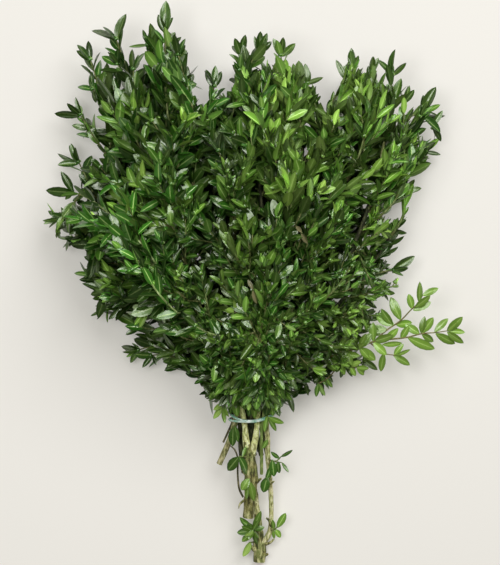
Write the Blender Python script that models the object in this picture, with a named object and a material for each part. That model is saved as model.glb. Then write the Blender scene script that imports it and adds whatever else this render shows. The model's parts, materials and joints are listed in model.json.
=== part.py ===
"""A bunch of cut boxwood branches, tied with a wound rubber band and lying on a flat surface.

Frame: metres, +Z up. The surface is z = 0, +Y runs from the cut stems to the leafy tips, and the
origin is the middle of the bunch's box, on the surface. Routes and sizes are written in
millimetres and turned into metres where they are used.
"""

import itertools
import math
from dataclasses import dataclass, field

import bmesh
import bpy
from mathutils import Quaternion, Vector
from mathutils.bvhtree import BVHTree

MM = 0.001

# Driving dimensions, in millimetres
SEAT_GAP = 0.1  # what a twig's foot keeps to the bark under it, past the clear gap
LIFTS = (0.0, 0.2, 0.4)  # and what is added to it, in turn, until the twig is clear
BRANCHING = math.radians(51)  # between a twig's foot and its parent
END_GAP = 0.6  # between a stem's end and the twig or branch that carries it on
CLEAR_GAP = 0.3  # least gap between neighbours
LEAF_LENGTH = 21.0
LEAF_WIDTH = 8.4
LEAF_THICKNESS = 0.7
LEAF_WIDEST_AT = 0.45  # fraction of the leaf's length
LEAF_TIP_WIDTH = 1.2
LEAF_TIP_THICKNESS = 0.4
LEAF_SPREAD = math.radians(50)  # between a leaf and its twig
PAIR_SPACING = 15.0  # along a twig
NODE_HALF_LENGTH = 0.9  # half of the short twig segment that carries a pair
BARE_BASE = 9.0  # twig without leaves next to its parent
TWIG_RADIUS = 0.85
TWIG_TIP_RADIUS = 0.55
BUD_LENGTH = 5.0

BAND_CENTRE = (-1.0, -117.0, 23.6)
BAND_HALF_WIDTH = 19.8
BAND_HALF_HEIGHT = 12.6
BAND_TURNS = 3
BAND_STRAND_RADIUS = 0.6
BAND_SPREAD = 1.5  # how far the turns lie apart along the stems
BAND_STACK = 0.95  # and outwards
BAND_POINTS_PER_TURN = 26

STEPS_PER_SPAN = 3  # points that a stem's tube gets between two of its route's points

# Woody stems: name, then points of the route as (x, y, z, radius) from the cut end upwards
TRUNK_LEFT = [
    (-4.5, -204, 13, 4.4), (-3, -186, 17, 4.7), (-1.5, -169, 20, 6.0), (-3, -150, 23, 5.0),
    (-6, -137, 26.8, 2.9), (-8, -117, 31, 2.3), (-15, -88, 38, 2.2), (-25, -60, 45, 2.0),
]
TRUNK_RIGHT = [
    (-2.5, -156, 22, 3.2), (0, -145, 25, 2.9), (2.4, -132, 28.4, 2.5), (4, -117, 31, 2.3),
    (6, -88, 40, 2.2), (8, -60, 50, 2.0),
]
LONG_MAIN = [
    (5.5, -244, 4.5, 5.0), (6, -234, 5.06, 5.6), (5, -222, 7.0, 4.6), (4, -204, 8, 3.1),
    (1.5, -186, 8.6, 3.0), (-0.5, -168, 10.5, 3.0), (-1.5, -150, 14.5, 3.0),
    (-2, -117, 21.5, 3.0), (7, -88, 29, 2.7), (18, -60, 38, 2.4),
]
LONG_SIDE = [
    (7.5, -228, 7.6, 2.6), (13, -221, 9, 2.5), (15.6, -212, 10, 2.2), (16, -190, 13, 2.0),
    (14.5, -168, 17, 2.1), (13, -150, 21, 2.3), (12.5, -134, 24, 2.4), (12.5, -117, 27, 2.4),
    (24, -88, 38, 2.3), (40, -60, 49, 2.1),
]
FORKS = {
    "stem_forked_trunk": (TRUNK_LEFT, TRUNK_RIGHT),
    "stem_long_forked": (LONG_MAIN, LONG_SIDE),
}
STEMS = {
    "stem_left_stub": [
        (-29.5, -157, 17, 2.5), (-20, -135, 22, 2.6), (-14.5, -117, 26.5, 2.5),
        (-5, -90, 31.5, 2.4), (4, -62, 34, 2.3), (18, -20, 40, 2.1), (34, 30, 46, 2.0),
        (48, 75, 50, 1.8), (58, 115, 50, 1.5),
    ],
    "stem_green": [
        (7.5, -166, 17, 1.4), (7.5, -150, 21, 1.5), (7.4, -135, 27, 1.5),
        (8.5, -117, 31.0, 1.5), (16, -88, 45, 1.5), (26, -55, 54, 1.5), (36, -10, 64, 1.4),
        (44, 50, 70, 1.3), (42, 110, 68, 1.2),
    ],
    "stem_far_left": [
        (-8, -165, 10, 2.2), (-10.5, -145, 16, 2.2), (-12.5, -117, 21.8, 2.2),
        (-26, -90, 24, 2.2), (-52, -57, 28, 2.1), (-85, -20, 30, 2.0), (-112, 14, 31, 1.8),
        (-135, 40, 31, 1.5),
    ],
    "stem_left_upper": [
        (-5.5, -155, 9, 2.3), (-9, -117, 18.2, 2.3), (-20, -88, 17, 2.3), (-40, -50, 20, 2.2),
        (-75, 5, 25, 2.0), (-103, 60, 30, 1.8), (-124, 108, 32, 1.4),
    ],
    "stem_left_top": [
        (1, -150, 8, 2.2), (-4.6, -117, 16.2, 2.2), (-9, -88, 22, 2.2), (-22, -55, 26, 2.1),
        (-45, 0, 36, 2.0), (-70, 70, 42, 1.8), (-88, 110, 44, 1.6), (-98, 140, 44, 1.4),
    ],
    "stem_middle_back": [
        (7.5, -150, 9.5, 2.2), (0.2, -117, 15.7, 2.2), (0, -80, 13.5, 2.2), (-6, -30, 14, 2.1),
        (-18, 30, 20, 1.9), (-27, 90, 28, 1.7), (-33, 140, 32, 1.4),
    ],
    "stem_right_top": [
        (12.5, -148, 13, 2.2), (7.6, -117, 18.8, 2.2), (21, -85, 21, 2.2), (45, -40, 26, 2.1),
        (80, 25, 32, 1.9), (108, 85, 36, 1.7), (124, 125, 36, 1.4),
    ],
    "stem_right_low": [
        (5.5, -146, 16.5, 1.9), (3.4, -117, 20.9, 2.0), (17, -92, 27, 2.0), (42, -58, 36, 1.9),
        (72, -20, 40, 1.8), (100, 15, 42, 1.7), (118, 40, 42, 1.4),
    ],
    "stem_thin_twig": [
        (-26, -138, 17.5, 0.9), (-21.5, -128, 20, 0.9), (-17.6, -117, 22.4, 0.9),
        (-21, -104, 26, 0.9), (-28, -88, 32, 0.8),
    ],
}
BRANCHES = {  # each carries on from the end of an arm of a forked stem, one end gap past it
    "branch_upper_left": [
        (-25, -60, 45, 2.0), (-36, -30, 52, 1.9), (-45, 0, 58, 1.9), (-60, 60, 66, 1.7),
        (-70, 115, 62, 1.4),
    ],
    "branch_middle": [
        (8, -60, 50, 2.0), (10, -30, 57, 1.9), (11, 0, 64, 1.9), (8, 60, 70, 1.7),
        (2, 120, 66, 1.3),
    ],
    "branch_right": [
        (18, -60, 38, 2.4), (31, -30, 43, 2.2), (46, 0, 47, 2.1), (68, 60, 52, 1.8),
        (82, 115, 50, 1.4),
    ],
    "branch_right_upper": [
        (40, -60, 49, 2.1), (56, -30, 56, 2.0), (72, 0, 62, 1.9), (97, 60, 62, 1.7),
        (110, 108, 56, 1.3),
    ],
}
GREEN_BARK = {"stem_green", "stem_thin_twig"}


@dataclass(frozen=True)
class Spray:
    """A leafy twig: where it leaves its parent, where it ends, and its side shoots."""

    name: str
    parent: str
    leaves_at: float | None  # y on the parent, or None to continue from the parent's end
    tip: tuple[float, float, float]
    shoots: tuple = ()  # (fraction of the twig's length, tip of the shoot)
    leaf_scale: float = 1.0
    bare: float = BARE_BASE
    roll: float = 0.0  # degrees, turns the leaf ranks about the twig
    light: bool = False
    arm: int = 0  # which arm of a forked parent


SPRAYS = [
    Spray("spray_upper_left_tip", "branch_upper_left", None, (-74, 239.4, 48), roll=40),
    Spray("spray_upper_left_outer", "branch_upper_left", 68, (-104, 190, 60), roll=25),
    Spray("spray_upper_left_inner", "branch_upper_left", 88, (-62, 204, 68), roll=50),
    Spray("spray_upper_left_front", "branch_upper_left", 5, (-80, 112, 84), roll=10),
    Spray("spray_left_top_tip", "stem_left_top", None, (-112, 222, 40),
          shoots=((0.42, (-134, 213, 36)),), roll=35),
    Spray("spray_left_top_outer", "stem_left_top", 92, (-143, 190, 34),
          shoots=((0.5, (-138, 160, 13)),), roll=15),
    Spray("spray_left_top_low", "stem_left_top", 30, (-112, 128, 54), roll=60),
    Spray("spray_left_upper_tip", "stem_left_upper", None, (-162, 146, 27),
          shoots=((0.4, (-147, 158, 24)),), roll=30),
    Spray("spray_left_upper_low", "stem_left_upper", 42, (-162, 106, 13), roll=20),
    Spray("spray_far_left_tip", "stem_far_left", None, (-178, 55, 27), roll=30),
    Spray("spray_far_left_upper", "stem_far_left", 8, (-168, 84, 40), bare=34, roll=10),
    Spray("spray_far_left_low", "stem_far_left", -22, (-138, 2, 18),
          shoots=((0.45, (-127, -24, 11)),), roll=45),
    Spray("spray_middle_tip", "branch_middle", None, (-8, 206, 57), roll=35),
    Spray("spray_middle_right", "branch_middle", 82, (23, 203, 60), roll=15),
    Spray("spray_middle_left", "branch_middle", 55, (-20, 186, 62), roll=55),
    Spray("spray_middle_front", "branch_middle", -25, (-10, 88, 88), roll=20),
    Spray("spray_middle_back_tip", "stem_middle_back", None, (-38, 180, 30), roll=25),
    Spray("spray_light_tip", "stem_green", None, (36, 197, 54), roll=30, light=True),
    Spray("spray_light_right", "stem_green", 66, (54, 166, 62), roll=45, light=True),
    Spray("spray_light_front", "stem_green", 2, (42, 104, 89), roll=15, light=True),
    Spray("spray_light_left", "stem_green", 30, (16, 138, 86), roll=60, light=True),
    Spray("spray_right_inner_tip", "stem_left_stub", None, (71, 186, 40), roll=35),
    Spray("spray_right_tip", "branch_right", None, (87, 193, 44), roll=20),
    Spray("spray_right_outer", "branch_right", 70, (106, 184, 62), roll=50),
    Spray("spray_right_front", "branch_right", -5, (70, 92, 90), roll=30),
    Spray("spray_right_upper_tip", "branch_right_upper", None, (121, 192, 46), roll=35),
    Spray("spray_right_upper_outer", "branch_right_upper", 52, (134, 146, 58), roll=15),
    Spray("spray_right_top_tip", "stem_right_top", None, (153, 162, 30), roll=30),
    Spray("spray_right_top_outer", "stem_right_top", 68, (156, 117, 11), roll=55),
    Spray("spray_right_low_tip", "stem_right_low", None, (139, 78, 32), roll=25),
    Spray("spray_right_low_outer", "stem_right_low", 2, (133, 31, 24),
          shoots=((0.45, (122, 4, 9)),), roll=40),
    Spray("spray_side_sprig", "stem_right_low", -74, (178, -39, 42), bare=44,
          shoots=((0.54, (146, -13, 42)), (0.47, (132, -62, 34))), leaf_scale=1.05, light=True),
    Spray("spray_lower_left", "stem_far_left", -72, (-103, -38, 13),
          shoots=((0.4, (-93, -64, 13)),), roll=35),
    Spray("spray_lower_left_inner", "stem_left_upper", -92, (-50, -80, 9), roll=20),
    Spray("spray_lower_right", "stem_right_top", -72, (93, -71, 10.5), roll=40),
    Spray("spray_lower_right_inner", "stem_right_top", -98, (52, -95, 14), bare=18, roll=25),
    Spray("spray_front_left", "stem_forked_trunk", -84, (-44, -12, 78), roll=30),
    Spray("spray_front_middle", "stem_forked_trunk", -88, (6, -22, 84), roll=45, arm=1),
    Spray("spray_front_right", "stem_long_forked", -84, (52, -14, 82), roll=15, arm=1),
    Spray("sprig_on_trunk", "stem_forked_trunk", -186, (-17, -158, 26), bare=3.5, leaf_scale=0.8),
    Spray("sprig_on_thin_stem", "stem_long_forked", -180, (29, -155, 24), bare=3.5,
          leaf_scale=0.75, arm=1),
    Spray("sprig_bottom_left", "stem_long_forked", -222, (-7, -211, 18), bare=3.5,
          leaf_scale=0.75),
    Spray("sprig_bottom_right", "stem_long_forked", -219, (25, -208, 16), bare=3.5,
          leaf_scale=0.7, light=True, arm=1),
]

COLOURS = {  # base colour (linear), roughness
    "bark": ((0.17, 0.13, 0.08, 1), 0.85),
    "green_bark": ((0.20, 0.26, 0.09, 1), 0.6),
    "leaf_dark": ((0.035, 0.085, 0.018, 1), 0.35),
    "leaf_light": ((0.14, 0.26, 0.06, 1), 0.4),
    "rubber": ((0.42, 0.66, 0.60, 1), 0.3),
}

# A square section's corners as (a, b) signs, in order round its axis
CORNERS = ((-1, -1), (1, -1), (1, 1), (-1, 1))


def clear_scene() -> None:
    """Remove every object of the scene."""
    for thing in list(bpy.data.objects):
        bpy.data.objects.remove(thing, do_unlink=True)


def add_collection(name: str) -> bpy.types.Collection:
    """Make a collection in the scene."""
    group = bpy.data.collections.new(name)
    bpy.context.scene.collection.children.link(group)
    return group


def add_material(name: str) -> bpy.types.Material:
    """Make one of the materials of COLOURS."""
    colour, roughness = COLOURS[name]
    material = bpy.data.materials.new(name)
    material.use_nodes = True
    shader = material.node_tree.nodes["Principled BSDF"]
    shader.inputs["Base Color"].default_value = colour
    shader.inputs["Roughness"].default_value = roughness
    shader.inputs["Metallic"].default_value = 0.0
    return material


def catmull_rom(points: list[Vector], step: float) -> Vector:
    """The point at step (0 to 1) between the middle two of four points."""
    before, start, end, after = points
    return 0.5 * (
        2 * start
        + (end - before) * step
        + (2 * before - 5 * start + 4 * end - after) * step**2
        + (3 * start - before - 3 * end + after) * step**3
    )


def smooth_route(route: list[tuple], steps: int) -> list[Vector]:
    """Points of any length read from a smooth curve through the route's own points."""
    points = [Vector(point) for point in route]
    points = [2 * points[0] - points[1], *points, 2 * points[-1] - points[-2]]
    smooth = [
        catmull_rom(points[i : i + 4], step / steps)
        for i in range(len(points) - 3)
        for step in range(steps)
    ]
    return [*smooth, points[-2]]


def along(points: list[Vector], distance: float) -> tuple[Vector, Vector]:
    """Place and direction at a distance along a chain of points."""
    for start, end in zip(points, points[1:]):
        span = (end - start).length
        if distance <= span:
            break
        distance -= span
    else:
        distance += span
    return start.lerp(end, distance / span), (end - start).normalized()


def length_of(points: list[Vector]) -> float:
    """Length of a chain of points."""
    return sum((end - start).length for start, end in zip(points, points[1:]))


def across(direction: Vector) -> Vector:
    """A level direction square to this one."""
    level = direction.cross(Vector((0, 0, 1)))
    return level.normalized() if level.length > 0.05 else Vector((1, 0, 0))


def section(centre: Vector, a: Vector, b: Vector, half_a: float, half_b: float) -> list[Vector]:
    """A rectangle's corners about its centre, raised if need be to lie on the surface z = 0."""
    corners = [centre + a * (i * half_a) + b * (j * half_b) for i, j in CORNERS]
    sunk = min(0.0, *(corner.z for corner in corners))
    return [corner - Vector((0, 0, sunk)) for corner in corners]


def chain_tree(sections: list[list[Vector]]) -> BVHTree:
    """Search tree of the closed skin round a chain of four-cornered sections."""
    points = [corner for ring in sections for corner in ring]
    faces = [(3, 2, 1, 0), tuple(len(points) - 4 + i for i in range(4))]
    for ring in range(len(sections) - 1):
        low = 4 * ring
        faces += [(low + i, low + (i + 1) % 4, low + 4 + (i + 1) % 4, low + 4 + i) for i in range(4)]
    return BVHTree.FromPolygons(points, faces)


class Obstacles:
    """Everything built so far, so that later pieces can keep clear of it."""

    def __init__(self) -> None:
        self.trees: list[tuple[str, BVHTree]] = []

    def add(self, owner: str, tree: BVHTree) -> None:
        """Add a piece's tree under its owner's name."""
        self.trees.append((owner, tree))

    def surface(self, owner: str, start: Vector, direction: Vector) -> Vector:
        """Where a ray first meets a piece."""
        return dict(self.trees)[owner].ray_cast(start, direction)[0]

    def clear(self, tree: BVHTree, ignore: tuple[str, ...] = ()) -> bool:
        """Whether a tree meets none of the others, apart from those of the ignored owners."""
        return not any(other.overlap(tree) for owner, other in self.trees if owner not in ignore)


# ---------------------------------------------------------------- woody stems and the band


def add_tube(name: str, points: list[Vector], material, group, resolution=1, closed=False):
    """A tube as a curve object: points hold x, y, z and radius, in millimetres."""
    curve = bpy.data.curves.new(name, "CURVE")
    curve.dimensions = "3D"
    curve.bevel_depth = MM
    curve.bevel_resolution = resolution
    curve.render_resolution_u = 0
    curve.use_fill_caps = True
    spline = curve.splines.new("POLY")
    spline.points.add(len(points) - 1)
    spline.use_cyclic_u = closed
    for point, (x, y, z, radius) in zip(spline.points, points):
        point.co = (x * MM, y * MM, z * MM, 1)
        point.radius = radius
    curve.materials.append(material)
    tube = bpy.data.objects.new(name, curve)
    group.objects.link(tube)
    return tube


def made_mesh(tube: bpy.types.Object, group) -> bpy.types.Object:
    """The tube as a mesh object whose caps are welded to its sides."""
    bpy.context.view_layer.update()
    name = tube.name
    mesh = bpy.data.meshes.new_from_object(tube.evaluated_get(bpy.context.evaluated_depsgraph_get()))
    bm = bmesh.new()
    bm.from_mesh(mesh)
    bmesh.ops.remove_doubles(bm, verts=bm.verts, dist=1e-6)
    bm.to_mesh(mesh)
    bm.free()
    solid = bpy.data.objects.new(f"{name}_mesh", mesh)
    solid.matrix_world = tube.matrix_world
    group.objects.link(solid)
    bpy.data.objects.remove(tube, do_unlink=True)
    solid.name = name
    return solid


def add_fork(name: str, arms: tuple, material, group, cutters) -> bpy.types.Object:
    """A forked stem: one arm's tube joined to the other's."""
    main, side = (
        made_mesh(add_tube(part, smooth_route(arm, STEPS_PER_SPAN), material, group), home)
        for part, arm, home in ((name, arms[0], group), (f"{name}_side", arms[1], cutters))
    )
    side.hide_render = True
    side.display_type = "WIRE"
    join = main.modifiers.new("side_arm", "BOOLEAN")
    join.operation = "UNION"
    join.solver = "EXACT"
    join.object = side
    return main


def add_band(material, group) -> bpy.types.Object:
    """The rubber band: one closed loop of several turns, each beside and outside the last."""
    centre = Vector(BAND_CENTRE)
    points = []
    for i in range(BAND_TURNS * BAND_POINTS_PER_TURN):
        turn = 2 * math.pi * i / BAND_POINTS_PER_TURN
        drift = turn / BAND_TURNS
        grow = BAND_STACK * math.sin(drift)
        place = centre + Vector((
            (BAND_HALF_WIDTH + grow) * math.cos(turn),
            BAND_SPREAD * math.cos(drift),
            (BAND_HALF_HEIGHT + grow) * math.sin(turn),
        ))
        points.append((*place, BAND_STRAND_RADIUS))
    return add_tube("rubber_band", points, material, group, closed=True)


def tree_of(thing: bpy.types.Object) -> BVHTree:
    """Search tree of an object as it is evaluated, in millimetres."""
    bpy.context.view_layer.update()
    evaluated = thing.evaluated_get(bpy.context.evaluated_depsgraph_get())
    mesh = evaluated.to_mesh()
    points = [thing.matrix_world @ vertex.co / MM for vertex in mesh.vertices]
    faces = [tuple(face.vertices) for face in mesh.polygons]
    evaluated.to_mesh_clear()
    return BVHTree.FromPolygons(points, faces)


# ---------------------------------------------------------------- leafy twigs


@dataclass
class Twig:
    """A leafy axis, worked out before its mesh is made."""

    key: str
    points: list[Vector]
    frames: list[tuple[Vector, Vector, Vector, Vector]] = field(default_factory=list)
    stations: list[float] = field(default_factory=list)
    pair_nodes: list[int] = field(default_factory=list)
    leaves: dict = field(default_factory=dict)  # (station, side) to the leaf's sections
    shoots: dict = field(default_factory=dict)  # (station, side) to the shoot's Twig

    def radius_at(self, station: float) -> float:
        """Half width of the square twig at a distance from its base."""
        share = station / self.stations[-1]
        return TWIG_RADIUS + (TWIG_TIP_RADIUS - TWIG_RADIUS) * share

    def ring(self, index: int, extra: float = 0.0) -> list[Vector]:
        """The twig's section at one of its stations."""
        centre, a, b, _ = self.frames[index]
        half = self.radius_at(self.stations[index]) + extra
        return section(centre, a, b, half, half)

    def bud(self, extra: float = 0.0) -> list[Vector]:
        """The section at the tip of the bud that ends the twig."""
        centre, a, b, direction = self.frames[-1]
        half = TWIG_TIP_RADIUS / 2 + extra
        return section(centre + direction * (BUD_LENGTH + extra), a, b, half, half)

    def tree(self, extra: float) -> BVHTree:
        """Search tree of the twig, made fatter by extra."""
        rings = [self.ring(i, extra) for i in range(len(self.frames))]
        return chain_tree([*rings, self.bud(extra)])


def lay_out(twig: Twig, bare: float, first: Vector | None, roll: float) -> None:
    """Set a twig's stations and frames: two rings for each leaf pair, and one at each end."""
    total = length_of(twig.points)
    pairs = max(1, round((total - bare - 3) / PAIR_SPACING))
    spacing = (total - bare - 3) / pairs
    twig.stations = [0.0]
    for pair in range(pairs):
        middle = bare + spacing * (pair + 0.45)
        twig.pair_nodes.append(len(twig.stations))
        twig.stations += [middle - NODE_HALF_LENGTH, middle + NODE_HALF_LENGTH]
    twig.stations.append(total)
    a = first
    last = None
    for station in twig.stations:
        centre, direction = along(twig.points, station)
        if a is None:
            a = Quaternion(direction, math.radians(roll)) @ across(direction)
        if last is not None:
            a = last.rotation_difference(direction) @ a
        a = (a - direction * a.dot(direction)).normalized()
        twig.frames.append((centre, a, direction.cross(a), direction))
        last = direction


def side_frame(twig: Twig, node: int, side: int) -> tuple[Vector, Vector, Vector, Vector]:
    """Middle of a node's side face, its width direction, its outward one, and the twig's."""
    low, high = twig.ring(node), twig.ring(node + 1)
    corners = [low[side], low[(side + 1) % 4], high[(side + 1) % 4], high[side]]
    middle = sum(corners, Vector()) / 4
    direction = twig.frames[node][3]
    width = (corners[1] - corners[0]).normalized()
    return middle, width, width.cross(direction), direction


def leaf_sections(base, size, spread, twist, extra=0.0, first=0.0) -> list[list[Vector]]:
    """Sections of a leaf that stands at an angle to its twig, wide in the middle, with a blunt tip.

    With first, a share of the leaf's length, they start with one more section there.
    """
    middle, width, outward, direction = base
    axis = outward * math.sin(spread) + direction * math.cos(spread)
    turn = Quaternion(axis, twist)
    a = turn @ width
    b = axis.cross(a)
    length = LEAF_LENGTH * size
    stops = [(LEAF_WIDEST_AT, LEAF_WIDTH * size, LEAF_THICKNESS),
             (1.0 + extra / length, LEAF_TIP_WIDTH, LEAF_TIP_THICKNESS)]
    if first:
        share = first / LEAF_WIDEST_AT
        wide = 2 * TWIG_RADIUS * (1 - share) + LEAF_WIDTH * size * share
        thick = 2 * NODE_HALF_LENGTH * (1 - share) + LEAF_THICKNESS * share
        stops.insert(0, (first, wide, thick))
    return [
        section(middle + axis * (length * share), a, b, wide / 2 + extra, thick / 2 + extra)
        for share, wide, thick in stops
    ]


def grow_leaves(twig: Twig, size: float, obstacles: Obstacles) -> None:
    """Give each node of a twig a pair of leaves, turned a quarter from the last, that keep clear."""
    tries = [(grow, spread, twist) for grow in (1.0, 0.82, 0.66)
             for spread, twist in ((0.0, 0.25), (-0.2, -0.3), (0.22, 0.6), (-0.32, 0.0), (0.3, -0.7))]
    for count, node in enumerate(twig.pair_nodes):
        taper = 0.78 if count == len(twig.pair_nodes) - 1 else 1.0
        for side in ((1, 3) if count % 2 else (0, 2)):
            if (node, side) in twig.shoots:
                continue
            base = side_frame(twig, node, side)
            for grow, more_spread, twist in tries:
                shape = (size * taper * grow, LEAF_SPREAD + more_spread, twist)
                tree = chain_tree(leaf_sections(base, *shape, extra=CLEAR_GAP, first=0.1))
                if obstacles.clear(tree, ignore=(twig.key,)):
                    twig.leaves[node, side] = leaf_sections(base, *shape)
                    solid = chain_tree(leaf_sections(base, *shape, first=0.02))
                    obstacles.add(f"{twig.key}_leaf", solid)
                    break


def bent(start: Vector, middle: Vector, end: Vector, offset: Vector) -> list[Vector]:
    """A smooth chain of points from start to end, bulging by offset on the way."""
    points = smooth_route([tuple(start), tuple(middle), tuple(end)], 6)
    count = len(points) - 1
    return [point + offset * math.sin(math.pi * i / count) for i, point in enumerate(points)]


def offsets(number: int) -> list[Vector]:
    """Small sideways offsets in a widening spiral, from none."""
    golden = math.pi * (3 - math.sqrt(5))
    return [
        Vector((math.cos(golden * i), 0.3 * math.sin(golden * i), math.sin(golden * i)))
        * (1.6 * math.sqrt(i))
        for i in range(number)
    ]


def foot(spray: Spray, points: list[Vector], obstacles: Obstacles) -> tuple[Vector, Vector]:
    """Where a spray's twig starts, just clear of its parent, and its first direction."""
    if spray.leaves_at is None:
        direction = (points[-1].xyz - points[-2].xyz).normalized()
        return points[-1].xyz + direction * END_GAP, direction
    index = min(range(1, len(points) - 1), key=lambda i: abs(points[i].y - spray.leaves_at))
    centre, radius = points[index].xyz, points[index].w
    trunk = (points[index + 1].xyz - points[index - 1].xyz).normalized()
    aim = Vector(spray.tip) - centre
    square = (aim - trunk * aim.dot(trunk)).normalized()
    direction = (trunk * math.cos(BRANCHING) + square * math.sin(BRANCHING)).normalized()
    corner = (TWIG_RADIUS + CLEAR_GAP) * math.sqrt(2)
    seat = obstacles.surface(spray.parent, centre + direction * 4 * radius, -direction)
    return seat + direction * (SEAT_GAP + corner / math.tan(BRANCHING)), direction


def plan_spray(spray: Spray, parents: dict, obstacles: Obstacles) -> Twig:
    """Find a clear route for a spray's twig and for its shoots."""
    seat, direction = foot(spray, parents[spray.parent][spray.arm], obstacles)
    tip = Vector(spray.tip)
    for offset, lift in itertools.product(offsets(60), LIFTS):
        start = seat + direction * lift
        straight = direction * (tip - start).length * 0.5
        middle = (start + straight).lerp(start.lerp(tip, 0.5), 0.55)
        twig = Twig(spray.name, bent(start, middle, tip, offset))
        lay_out(twig, spray.bare, None, spray.roll)
        if obstacles.clear(twig.tree(CLEAR_GAP)):
            break
    else:
        raise ValueError(f"{spray.name} finds no clear route")
    obstacles.add(twig.key, twig.tree(0))
    for number, (share, shoot_tip) in enumerate(spray.shoots):
        plan_shoot(twig, number, share, Vector(shoot_tip), obstacles)
    return twig


def plan_shoot(twig: Twig, number: int, share: float, tip: Vector, obstacles: Obstacles) -> None:
    """Start a shoot on the side face, near a share of the twig, that looks most towards its tip."""
    want = twig.stations[-1] * share
    node = min(twig.pair_nodes, key=lambda i: abs(twig.stations[i] - want))
    facing = {side: side_frame(twig, node, side) for side in range(4)}
    side = max(facing, key=lambda i: facing[i][2].dot((tip - facing[i][0]).normalized()))
    middle, width, outward, direction = facing[side]
    rise = (outward * 0.8 + direction * 0.6).normalized()
    start = middle + rise * 0.4
    for offset in offsets(40):
        bend = (start + rise * (tip - start).length * 0.5).lerp(start.lerp(tip, 0.5), 0.6)
        shoot = Twig(f"{twig.key}_shoot_{number}", bent(start, bend, tip, offset))
        lay_out(shoot, BARE_BASE, width, 0)
        if obstacles.clear(shoot.tree(CLEAR_GAP), ignore=(twig.key,)):
            twig.shoots[node, side] = shoot
            obstacles.add(shoot.key, shoot.tree(0))
            return
    raise ValueError(f"{shoot.key} finds no clear route")


def extrude(bm: bmesh.types.BMesh, face, corners: list, places: list[Vector]) -> tuple:
    """Extrude a four-cornered face to new places; returns the cap, its corners and the sides."""
    cap = bmesh.ops.extrude_discrete_faces(bm, faces=[face])["faces"][0]
    moved = [min(cap.verts, key=lambda v: (v.co - corner.co).length_squared) for corner in corners]
    sides = []
    for i in range(4):
        j = (i + 1) % 4
        edge = bm.edges.get((moved[i], moved[j]))
        side = next(found for found in edge.link_faces if found is not cap)
        sides.append((side, [corners[i], corners[j], moved[j], moved[i]]))
    for vertex, place in zip(moved, places):
        vertex.co = place * MM
    return cap, moved, sides


def grow_mesh(bm: bmesh.types.BMesh, twig: Twig, cap, corners: list, first: int) -> None:
    """Extrude a twig from a face, ring by ring, and its leaves and shoots from its side faces."""
    for index in range(first, len(twig.frames)):
        cap, corners, sides = extrude(bm, cap, corners, twig.ring(index))
        for number, (side, side_corners) in enumerate(sides):
            key = (index - 1, number)
            if key in twig.leaves:
                for places in twig.leaves[key]:
                    side, side_corners, _ = extrude(bm, side, side_corners, places)
            elif key in twig.shoots:
                grow_mesh(bm, twig.shoots[key], side, side_corners, 0)
    extrude(bm, cap, corners, twig.bud())


def add_spray(twig: Twig, material, group) -> bpy.types.Object:
    """Make a spray's mesh: a block at its base, from which everything else is extruded."""
    bm = bmesh.new()
    bmesh.ops.create_cube(bm, size=2.0)
    rings = twig.ring(0), twig.ring(1)
    top = {}
    for vertex in bm.verts:
        index = CORNERS.index((round(vertex.co.x), round(vertex.co.y)))
        if vertex.co.z > 0:
            top[index] = vertex
        vertex.co = rings[vertex.co.z > 0][index] * MM
    corners = [top[i] for i in range(4)]
    cap = next(face for face in bm.faces if set(face.verts) == set(corners))
    grow_mesh(bm, twig, cap, corners, 2)
    mesh = bpy.data.meshes.new(twig.key)
    bm.to_mesh(mesh)
    bm.free()
    mesh.materials.append(material)
    spray = bpy.data.objects.new(twig.key, mesh)
    group.objects.link(spray)
    return spray


def build() -> None:
    """Make the band, the stems, and then the sprays round them."""
    clear_scene()
    group = add_collection("boxwood_bunch")
    cutters = add_collection("cutters")
    materials = {name: add_material(name) for name in COLOURS}
    obstacles = Obstacles()
    parents = {}

    woods = [add_band(materials["rubber"], group)]
    for name, arms in FORKS.items():
        parents[name] = [smooth_route(arm, STEPS_PER_SPAN) for arm in arms]
        woods.append(add_fork(name, arms, materials["bark"], group, cutters))
    for name, route in {**STEMS, **BRANCHES}.items():
        points = smooth_route(route, STEPS_PER_SPAN)
        if name in BRANCHES:
            step = (points[1].xyz - points[0].xyz).normalized() * END_GAP
            points[0] = Vector((*(points[0].xyz + step), points[0].w))
        parents[name] = [points]
        bark = "green_bark" if name in GREEN_BARK else "bark"
        woods.append(add_tube(name, points, materials[bark], group))
    for wood in woods:
        obstacles.add(wood.name, tree_of(wood))

    twigs = [plan_spray(spray, parents, obstacles) for spray in SPRAYS]
    for spray, twig in zip(SPRAYS, twigs):
        for axis in (twig, *twig.shoots.values()):
            grow_leaves(axis, spray.leaf_scale, obstacles)
        leaf = "leaf_light" if spray.light else "leaf_dark"
        add_spray(twig, materials[leaf], group)


build()
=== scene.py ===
"""Looks of a bunch of cut boxwood, tied with a wound rubber band and lying on a pale surface.

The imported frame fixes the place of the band, of every stem and of every leafy twig. Here the
stems get their bark, knots and cut ends, and the twigs their full foliage: opposite pairs of
leaves, side shoots, small inner leaves and buds. Routes and sizes are in millimetres, +Y runs
from the cut ends to the leafy tips, and the surface is z = 0.
"""

import json
import logging
import math
import random
from bisect import bisect_right
from dataclasses import dataclass, field, replace
from enum import Enum, IntEnum
from functools import cached_property
from typing import Any, NamedTuple

import bmesh
import bpy
from mathutils import Matrix, Quaternion, Vector, noise

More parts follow.
